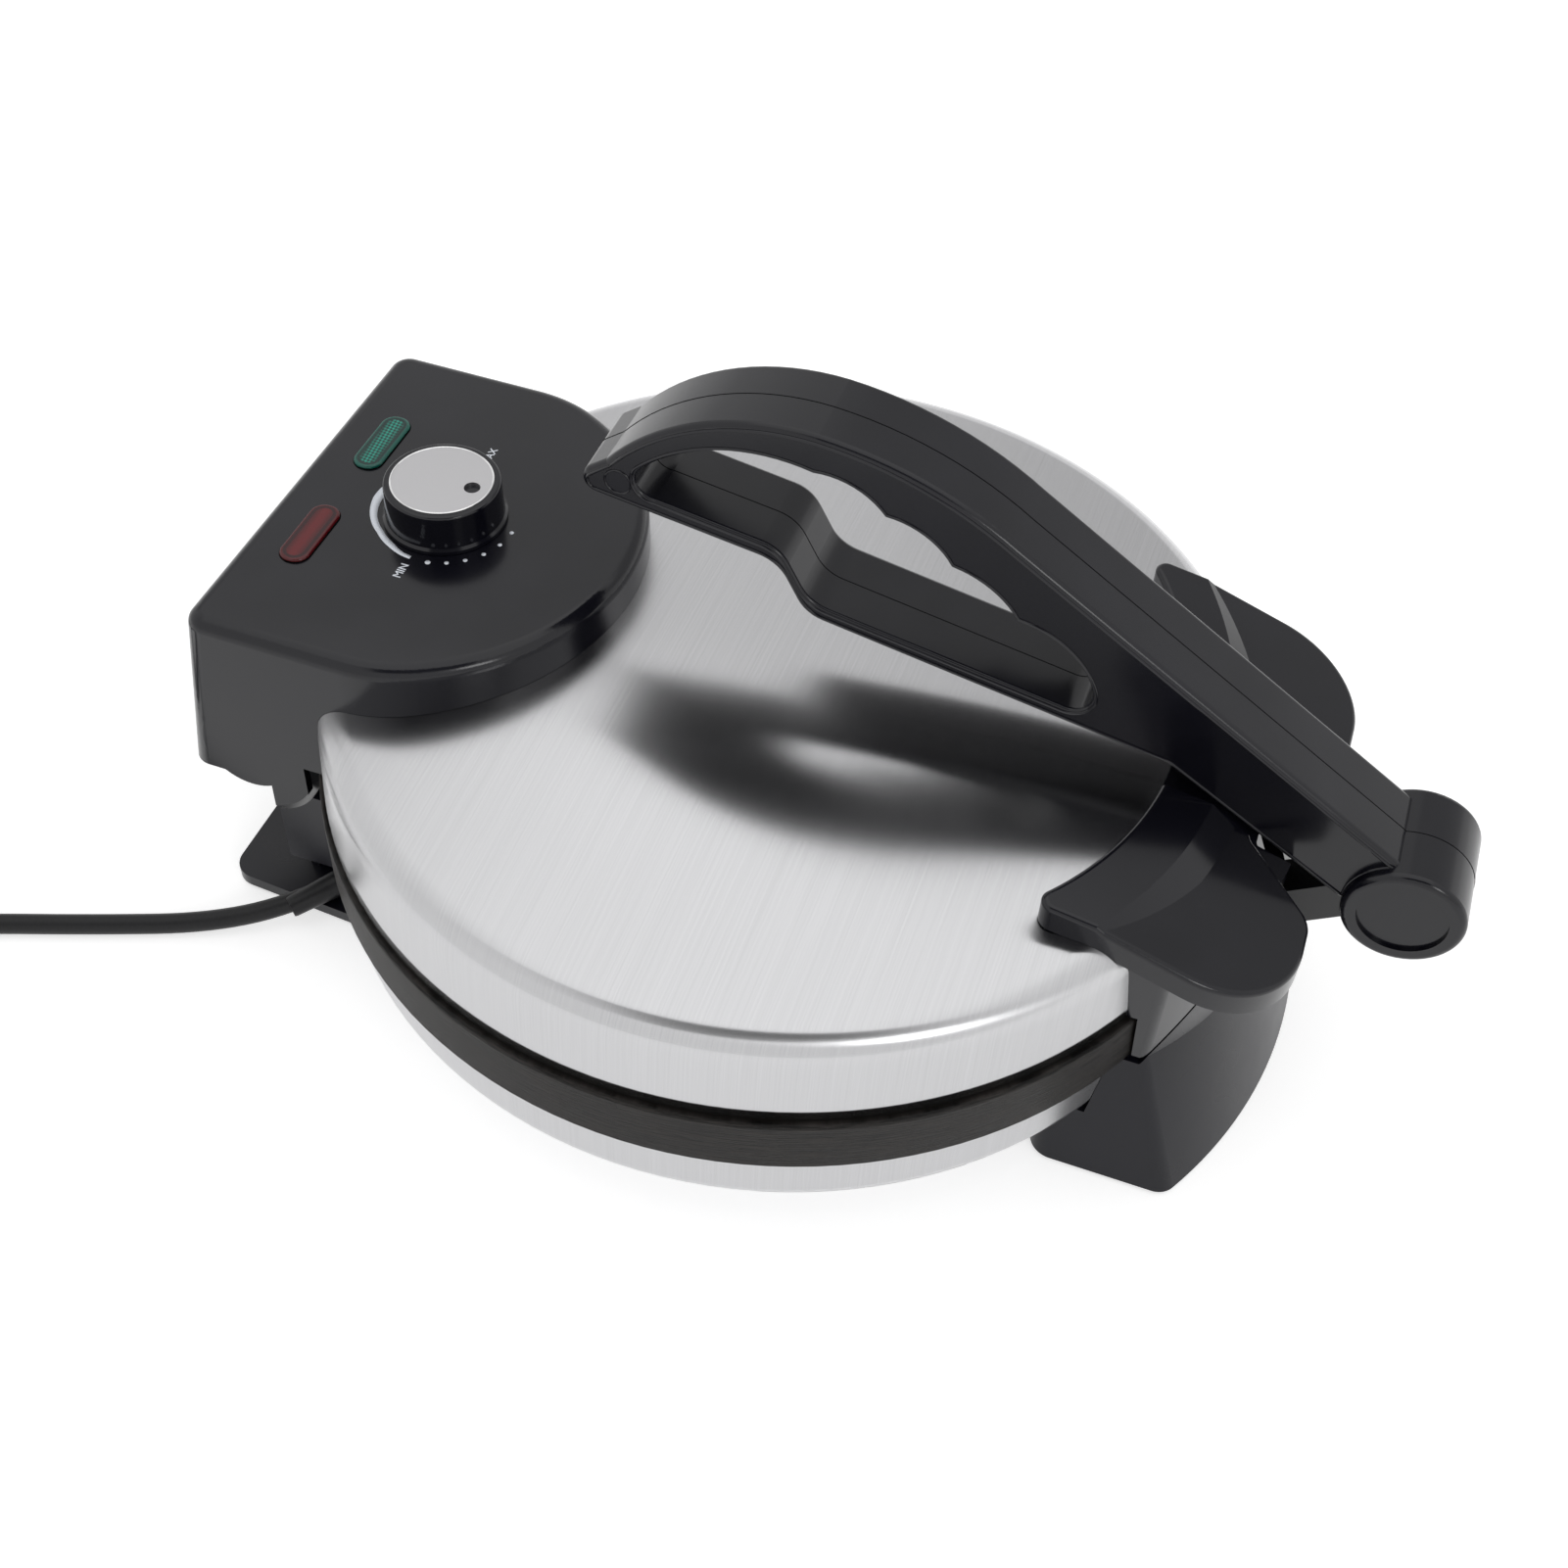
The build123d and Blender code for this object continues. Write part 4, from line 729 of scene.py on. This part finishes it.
def draw_wedge(shape):
    """Wedge that widens from the cold end over the back to the hot end."""
    rows = []
    for (first, inner, outer), (last, inner_end, outer_end) in zip(WEDGE, WEDGE[1:]):
        for k in range(WEDGE_STEPS + (last == WEDGE[-1][0])):
            share = k / WEDGE_STEPS
            angle = math.radians(first + (last - first) * share)
            near = shape.verts.new(panel_point(angle, inner + (inner_end - inner) * share))
            far = shape.verts.new(panel_point(angle, outer + (outer_end - outer) * share))
            rows.append((near, far))
    for (a, b), (c, d) in zip(rows, rows[1:]):
        shape.faces.new((a, b, d, c))


def print_word(word, x, y, size, ink):
    """A word printed on the panel."""
    text = bpy.data.curves.new(word.lower(), "FONT")
    text.body = word
    text.size = size
    text.extrude = WORD_INK
    text.offset = WORD_WEIGHT
    text.align_x = "CENTER"
    text.align_y = "CENTER"
    shape = surface_of(text)
    shift = Matrix.Translation((KNOB.x + x, KNOB.y + y, PANEL_Z + INK / 2))
    bmesh.ops.transform(shape, matrix=shift, verts=shape.verts)
    finish_mesh(shape, "word_" + word.lower(), ink, "lid")


class ROTI_OT_dial(bpy.types.Operator):
    """Knob, its bright disc and the marks printed round it"""

    bl_idname = "roti.dial"
    bl_label = "Dial"

    def execute(self, context):
        dial = context.scene.roti_dial
        black = tuple(context.scene.roti_moulding.shade)
        dress(moulding("knob_moulding", black, roughness=0.12), "knob_body")
        dress(spun_face("spun_disc", (0.50, 0.495, 0.505)), "knob_disc")
        # steel lighter and glossier than the disc's: a painted highlight along its edge
        painted_disc_highlight(plain_steel("painted_highlight_steel", (0.8, 0.8, 0.8), roughness=0.15))
        white = paint("dial_print", tuple(dial.print_shade))
        shape = bmesh.new()
        draw_dots(shape, dial.ring, dial.dot)
        draw_wedge(shape)
        for face in shape.faces:
            if face.normal.z < 0:
                face.normal_flip()
        marks = finish_mesh(shape, "dial_marks", white, "lid", normals=False)
        thicken(marks, "ink", INK)
        for word, x, y in WORDS:
            print_word(word, x, y, dial.letters, white)
        return {"FINISHED"}


# ---- lamps -------------------------------------------------------------------------------
# half the width of the dark bead painted as the shadow in the gap round a lens, and the points
# along it
GAP_RADIUS = 0.00035
GAP_POINTS = 64
# ribs of the green lens, as radians to the metre
GREEN_RIBS = 2100


def painted_gap_shadow(name, dark):
    """A dark bead painted as the shadow in the narrow gap in the panel round a lens."""
    middle, radius, straight = lens_plan(name)
    radius -= LENS_FLANGE
    rim = []
    for k in range(GAP_POINTS):
        turn = math.tau * (k + 0.5) / GAP_POINTS - math.pi / 2
        end = straight if k < GAP_POINTS / 2 else -straight
        x = middle.x + end + radius * math.cos(turn)
        rim.append(Vector((x, middle.y + radius * math.sin(turn), PANEL_Z)))
    round_bead(name + "_gap", rim, GAP_RADIUS, dark, "lid")


class ROTI_OT_lamps(bpy.types.Operator):
    """Red and green lenses and the lamps behind them"""

    bl_idname = "roti.lamps"
    bl_label = "Lamps"

    def execute(self, context):
        red = lens_plastic("red_lens", (0.33, 0.012, 0.017), (0.030, 0.002, 0.004), hatch=0)
        green = lens_plastic("green_lens", (0.02, 0.45, 0.33), (0.002, 0.03, 0.025), GREEN_RIBS)
        dress(red, "red_lens")
        dress(green, "green_lens")
        # a dark bead round each lens, painted as the shadow in its gap
        gap = shadow("painted_gap_shadow")
        painted_gap_shadow("red_lens", gap)
        painted_gap_shadow("green_lens", gap)
        dress(lamp_glass(), "neon_lamps")
        return {"FINISHED"}


# ---- mains cord --------------------------------------------------------------------------
# height of the cord's axis on the floor, and how far up its second layer lies
CORD_Z = 0.0036
LAYER = 0.0071
GLAND = Vector((-0.068, PLATE_Y + 0.1315, 0.012))
ENTER = Vector((-0.146, PLATE_Y + 0.300, CORD_Z))
HEADING = Vector((-0.32, 0.9474, 0)).normalized()
ASIDE = Vector((HEADING.y, -HEADING.x, 0))
COIL_RADIUS = 0.040
COIL = ENTER + ASIDE * COIL_RADIUS
COIL_TURNS = 3.25
POINTS_A_TURN = 16
# degrees of coil over which the cord moves inward, climbs onto its second layer, and moves outward
INWARD = (262, 345)
CLIMB = (605, 672)
OUTWARD = (950, 1030)
# the plug lies on its rim: the rim's radius, the length behind it, the lean and the clearance
PLUG_RADIUS = 0.0184
PLUG_LONG = 0.045
PLUG_TILT = math.radians(9.5)
PLUG_CLEAR = 0.0001
# where the cord leaves the coil for the plug, and how far beyond it the plug begins
LANE_Z = 0.0108
LANE_RADIUS = 0.0435
PLUG_AWAY = 0.036
LEAVE = math.atan2(-HEADING.x, HEADING.y) + math.pi / 2
# the sleeve where the cord leaves the housing, as (distance, radius) along it
SLEEVE = (
    (0.0, 0.0048),
    (0.003, 0.0048),
    (0.0034, 0.0046),
    (0.010, 0.0043),
    (0.016, 0.0040),
    (0.022, 0.0038),
    (0.0226, 0.00365),
    (0.023, 0.0036),
)


def ease(value, low, high):
    """0 below low, 1 above high and a smooth rise between."""
    share = min(1.0, max(0.0, (value - low) / (high - low)))
    return share * share * (3 - 2 * share)


def coil_points(inner, outer):
    """Places along the coil's turns."""
    first = math.atan2(-ASIDE.y, -ASIDE.x)
    # the curve cuts inside its points, so they lie a little further out
    swell = 1 / math.cos(math.pi / POINTS_A_TURN)
    points = []
    for k in range(1, int(COIL_TURNS * POINTS_A_TURN)):
        gone = k / POINTS_A_TURN * 360
        inward = ease(gone, *INWARD) - ease(gone, *OUTWARD)
        radius = (outer + (inner - outer) * inward) * swell
        angle = first - math.radians(gone)
        x = COIL.x + radius * math.cos(angle)
        y = COIL.y + radius * math.sin(angle)
        points.append(Vector((x, y, CORD_Z + LAYER * ease(gone, *CLIMB))))
    return points


def cord_route(inner, outer):
    """The cord's places from the housing over the floor, round the coil and into the plug."""
    enter = COIL - ASIDE * outer
    points = [
        GLAND,
        Vector((-0.083, PLATE_Y + 0.1435, 0.0095)),
        Vector((-0.098, PLATE_Y + 0.170, CORD_Z)),
        Vector((-0.1128, PLATE_Y + 0.206, CORD_Z)),
        ENTER - HEADING * 0.058,
        enter - HEADING * 0.024,
    ]
    points += coil_points(inner, outer)
    out = Vector((math.cos(LEAVE), math.sin(LEAVE), 0))
    run = Vector((out.y, -out.x, 0))
    axis = run * math.cos(PLUG_TILT) + Vector((0, 0, math.sin(PLUG_TILT)))
    start = Vector((COIL.x, COIL.y, 0)) + out * COIL_RADIUS + run * PLUG_AWAY * math.cos(PLUG_TILT)
    start.z = PLUG_RADIUS * math.cos(PLUG_TILT) - PLUG_LONG * math.sin(PLUG_TILT) + PLUG_CLEAR
    lane = Vector((COIL.x, COIL.y, LANE_Z)) + out * LANE_RADIUS
    return points + [lane + run * 0.004, start - axis * 0.012, start]


def cord_sleeve(start, onward, black):
    """Tapered sleeve where the cord leaves the housing."""
    shape = bmesh.new()
    last = []
    for reach, radius in SLEEVE:
        ring = bmesh.ops.create_circle(
            shape,
            cap_ends=False,
            radius=radius,
            segments=32,
            matrix=Matrix.Translation((0, 0, reach)),
        )["verts"]
        edges = list({e for v in ring for e in v.link_edges})
        if last:
            bmesh.ops.bridge_loops(shape, edges=last + edges)
        last = edges
    bmesh.ops.holes_fill(shape, edges=[e for e in shape.edges if e.is_boundary], sides=0)
    turn = (onward - start).normalized().to_track_quat("Z", "Y").to_matrix().to_4x4()
    bmesh.ops.transform(shape, matrix=Matrix.Translation(start) @ turn, verts=shape.verts)
    return finish_mesh(shape, "cord_relief", black, "base")


class ROTI_OT_cord(bpy.types.Operator):
    """Mains cord with its strain relief, coil and plug"""

    bl_idname = "roti.cord"
    bl_label = "Mains cord"

    def execute(self, context):
        cord = context.scene.roti_cord
        black = rubber("cord_sheath", (0.007, 0.007, 0.008), roughness=0.42)
        points = cord_route(cord.inner, cord.outer)
        curve = bpy.data.curves.new("mains_lead", "CURVE")
        curve.dimensions = "3D"
        curve.bevel_depth = cord.radius
        curve.bevel_resolution = 5
        curve.resolution_u = 8
        spline = add_spline(curve, "NURBS", points)
        spline.order_u = 3
        spline.use_endpoint_u = True
        curve.materials.append(black)
        lead = new_object("mains_lead", curve)
        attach(lead, "base")
        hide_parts("mains_cord", "cord_coil")
        relief = cord_sleeve(points[0], points[1], black)
        dress(black, "cord_gland", "plug_body", "mains_cord", "cord_coil")
        dress(plain_steel("plug_nickel", (0.72, 0.68, 0.58), roughness=0.2), "plug_pins")
        return {"FINISHED"}


# ---- stage -------------------------------------------------------------------------------
# the camera's place, then its bearing, height angle and roll in degrees
CAMERA_AT = Vector((-0.42884, -0.13377 + PLATE_Y, 0.54349))
CAMERA_ANGLES = (-72.652, 48.133, 3.144)
# focal length and frame width in the same units, and the sensor's width in millimetres
FOCAL = 2027.54
FRAME_WIDE = 1601
SENSOR_WIDE = 36.0

FLOOR_WIDE = 12.0
FLOOR_LOW = 0.0002
FLOOR_SHADE = 0.75
FLOOR_GLOW = 0.62
WHITE = (1, 1, 1, 1)
# the appliance's middle, which lamps and boards face, and the floor under the key lamp
MIDDLE = (0, 0, 0.05)
KEY_AIM = (0.3, 0.001, 0)


def camera_turn():
    """The camera's axes from its bearing, height angle and roll."""
    bearing, height, roll = (math.radians(a) for a in CAMERA_ANGLES)
    level = math.cos(height)
    ahead = Vector((-math.sin(bearing) * level, math.cos(bearing) * level, -math.sin(height)))
    right = Vector((math.cos(bearing), math.sin(bearing), 0))
    up = right.cross(ahead)
    turned_right = right * math.cos(roll) + up * math.sin(roll)
    turned_up = -right * math.sin(roll) + up * math.cos(roll)
    return Matrix((turned_right, turned_up, -ahead)).transposed().to_4x4()


def facing(place, aim, axis):
    """A place and turn with one axis towards an aim."""
    turn = (Vector(aim) - Vector(place)).to_track_quat(axis, "Y")
    return Matrix.Translation(place) @ turn.to_matrix().to_4x4()


def soft_lamp(name, place, aim, size, power):
    """A large square lamp."""
    lamp = bpy.data.lights.new(name, "AREA")
    lamp.shape = "RECTANGLE"
    lamp.size = size
    lamp.size_y = size
    lamp.energy = power
    new_object(name, lamp).matrix_world = facing(place, aim, "-Z")


def fresh_tree(owner):
    """The emptied node tree of a material or world."""
    owner.use_nodes = True
    owner.node_tree.nodes.clear()
    return owner.node_tree


def white_light(tree, kind, strength):
    """White emission or background of a strength."""
    made = tree.nodes.new(kind)
    made.inputs["Color"].default_value = WHITE
    made.inputs["Strength"].default_value = strength
    return made.outputs[0]


def combine(tree, kind, *parts):
    """A node fed by other nodes' outputs, in order."""
    made = tree.nodes.new(kind)
    for socket, part in zip(made.inputs, parts):
        tree.links.new(part, socket)
    return made.outputs[0] if made.outputs else None


def seen_white(tree):
    """1 for the camera, mirrors and clear plastic, 0 for the rays that light the object."""
    path = tree.nodes.new("ShaderNodeLightPath")
    seen = path.outputs["Is Camera Ray"]
    for name in ("Is Glossy Ray", "Is Transmission Ray"):
        larger = tree.nodes.new("ShaderNodeMath")
        larger.operation = "MAXIMUM"
        tree.links.new(seen, larger.inputs[0])
        tree.links.new(path.outputs[name], larger.inputs[1])
        seen = larger.outputs[0]
    return seen


def board(name, placed, wide, high, material):
    """A flat rectangle that belongs to the stage."""
    shape = bmesh.new()
    matrix = placed @ Matrix.Diagonal((wide, high, 1, 1))
    bmesh.ops.create_grid(shape, x_segments=1, y_segments=1, size=0.5, matrix=matrix)
    mesh = bpy.data.meshes.new(name)
    shape.to_mesh(mesh)
    shape.free()
    mesh.materials.append(material)
    return new_object(name, mesh)


def floor_white():
    """Pale floor that keeps shadows and is white where it is seen."""
    material = bpy.data.materials.new("floor_white")
    tree = fresh_tree(material)
    matt = tree.nodes.new("ShaderNodeBsdfDiffuse")
    matt.inputs["Color"].default_value = (FLOOR_SHADE, FLOOR_SHADE, FLOOR_SHADE, 1)
    glow = white_light(tree, "ShaderNodeEmission", FLOOR_GLOW)
    both = combine(tree, "ShaderNodeAddShader", matt.outputs[0], glow)
    mix = combine(tree, "ShaderNodeMixShader", seen_white(tree), matt.outputs[0], both)
    combine(tree, "ShaderNodeOutputMaterial", mix)
    return material


def surroundings(strength):
    """World that lights the object softly and is white where it is seen."""
    world = bpy.data.worlds.new("surroundings")
    tree = fresh_tree(world)
    dim = white_light(tree, "ShaderNodeBackground", strength)
    bright = white_light(tree, "ShaderNodeBackground", 1.0)
    mix = combine(tree, "ShaderNodeMixShader", seen_white(tree), dim, bright)
    combine(tree, "ShaderNodeOutputWorld", mix)
    return world


def grey_card(name, place, wide, high, strength):
    """A plain grey board beside the lamps that steel and gloss reflect, unseen by the camera."""
    material = bpy.data.materials.new(name)
    tree = fresh_tree(material)
    combine(tree, "ShaderNodeOutputMaterial", white_light(tree, "ShaderNodeEmission", strength))
    card = board(name, facing(place, MIDDLE, "Z"), wide, high, material)
    card.visible_camera = False
    card.visible_shadow = False


class ROTI_OT_stage(bpy.types.Operator):
    """Camera, floor, lamps and white surroundings"""

    bl_idname = "roti.stage"
    bl_label = "Stage"

    def execute(self, context):
        scene = context.scene
        light = scene.roti_light
        scene.view_settings.view_transform = "Standard"
        view = bpy.data.cameras.new("view")
        view.sensor_fit = "HORIZONTAL"
        view.sensor_width = SENSOR_WIDE
        view.lens = FOCAL * SENSOR_WIDE / FRAME_WIDE
        view.clip_start = 0.01
        camera = new_object("view", view)
        camera.matrix_world = Matrix.Translation(CAMERA_AT) @ camera_turn()
        scene.camera = camera
        lowered = Matrix.Translation((0, 0, -FLOOR_LOW))
        floor = board("floor", lowered, FLOOR_WIDE, FLOOR_WIDE, floor_white())
        scene.world = surroundings(light.world)
        soft_lamp("key", (0.3, 0.0, 2.4), KEY_AIM, size=3.0, power=light.key)
        soft_lamp("fill", (-1.2, -1.3, 1.1), MIDDLE, size=0.5, power=light.fill)
        soft_lamp("back", (1.74, 0.93, 1.50), MIDDLE, size=1.4, power=light.back)
        grey_card("card_far", (2.2, 0.1, 1.6), wide=6.5, high=1.5, strength=0.66)
        grey_card("card_near", (-1.25, -0.35, 1.75), wide=1.6, high=0.9, strength=0.12)
        return {"FINISHED"}


# ---- panel and registration --------------------------------------------------------------
class ROTI_PT_maker(bpy.types.Panel):
    """Lists the parts of the roti maker and their settings"""

    bl_idname = "ROTI_PT_maker"
    bl_label = "Roti maker"
    bl_space_type = "VIEW_3D"
    bl_region_type = "UI"
    bl_category = "Roti maker"

    def draw(self, context):
        for title, group, operators in (
            ("Steel", "roti_steel", ("roti.steel", "roti.plates")),
            ("Mouldings", "roti_moulding", ("roti.mouldings",)),
            ("Dial", "roti_dial", ("roti.dial", "roti.lamps")),
            ("Cord", "roti_cord", ("roti.cord",)),
            ("Light", "roti_light", ("roti.stage",)),
        ):
            section = self.layout.box()
            section.label(text=title)
            settings = getattr(context.scene, group)
            for key in settings.__annotations__:
                section.prop(settings, key)
            for operator in operators:
                section.operator(operator)


GROUPS = {
    "roti_steel": RotiSteel,
    "roti_moulding": RotiMoulding,
    "roti_dial": RotiDial,
    "roti_cord": RotiCord,
    "roti_light": RotiLight,
}
OPERATORS = (
    ROTI_OT_stage,
    ROTI_OT_cord,
    ROTI_OT_steel,
    ROTI_OT_plates,
    ROTI_OT_mouldings,
    ROTI_OT_dial,
    ROTI_OT_lamps,
)


def register():
    for name, group in GROUPS.items():
        bpy.utils.register_class(group)
        setattr(bpy.types.Scene, name, PointerProperty(type=group))
    for made in OPERATORS:
        bpy.utils.register_class(made)
    bpy.utils.register_class(ROTI_PT_maker)


def unregister():
    bpy.utils.unregister_class(ROTI_PT_maker)
    for made in reversed(OPERATORS):
        bpy.utils.unregister_class(made)
    for name, group in GROUPS.items():
        delattr(bpy.types.Scene, name)
        bpy.utils.unregister_class(group)


def main():
    register()
    bpy.ops.roti.stage()
    bpy.ops.roti.cord()
    bpy.ops.roti.steel()
    bpy.ops.roti.plates()
    bpy.ops.roti.mouldings()
    bpy.ops.roti.dial()
    bpy.ops.roti.lamps()


if __name__ == "__main__":
    main()
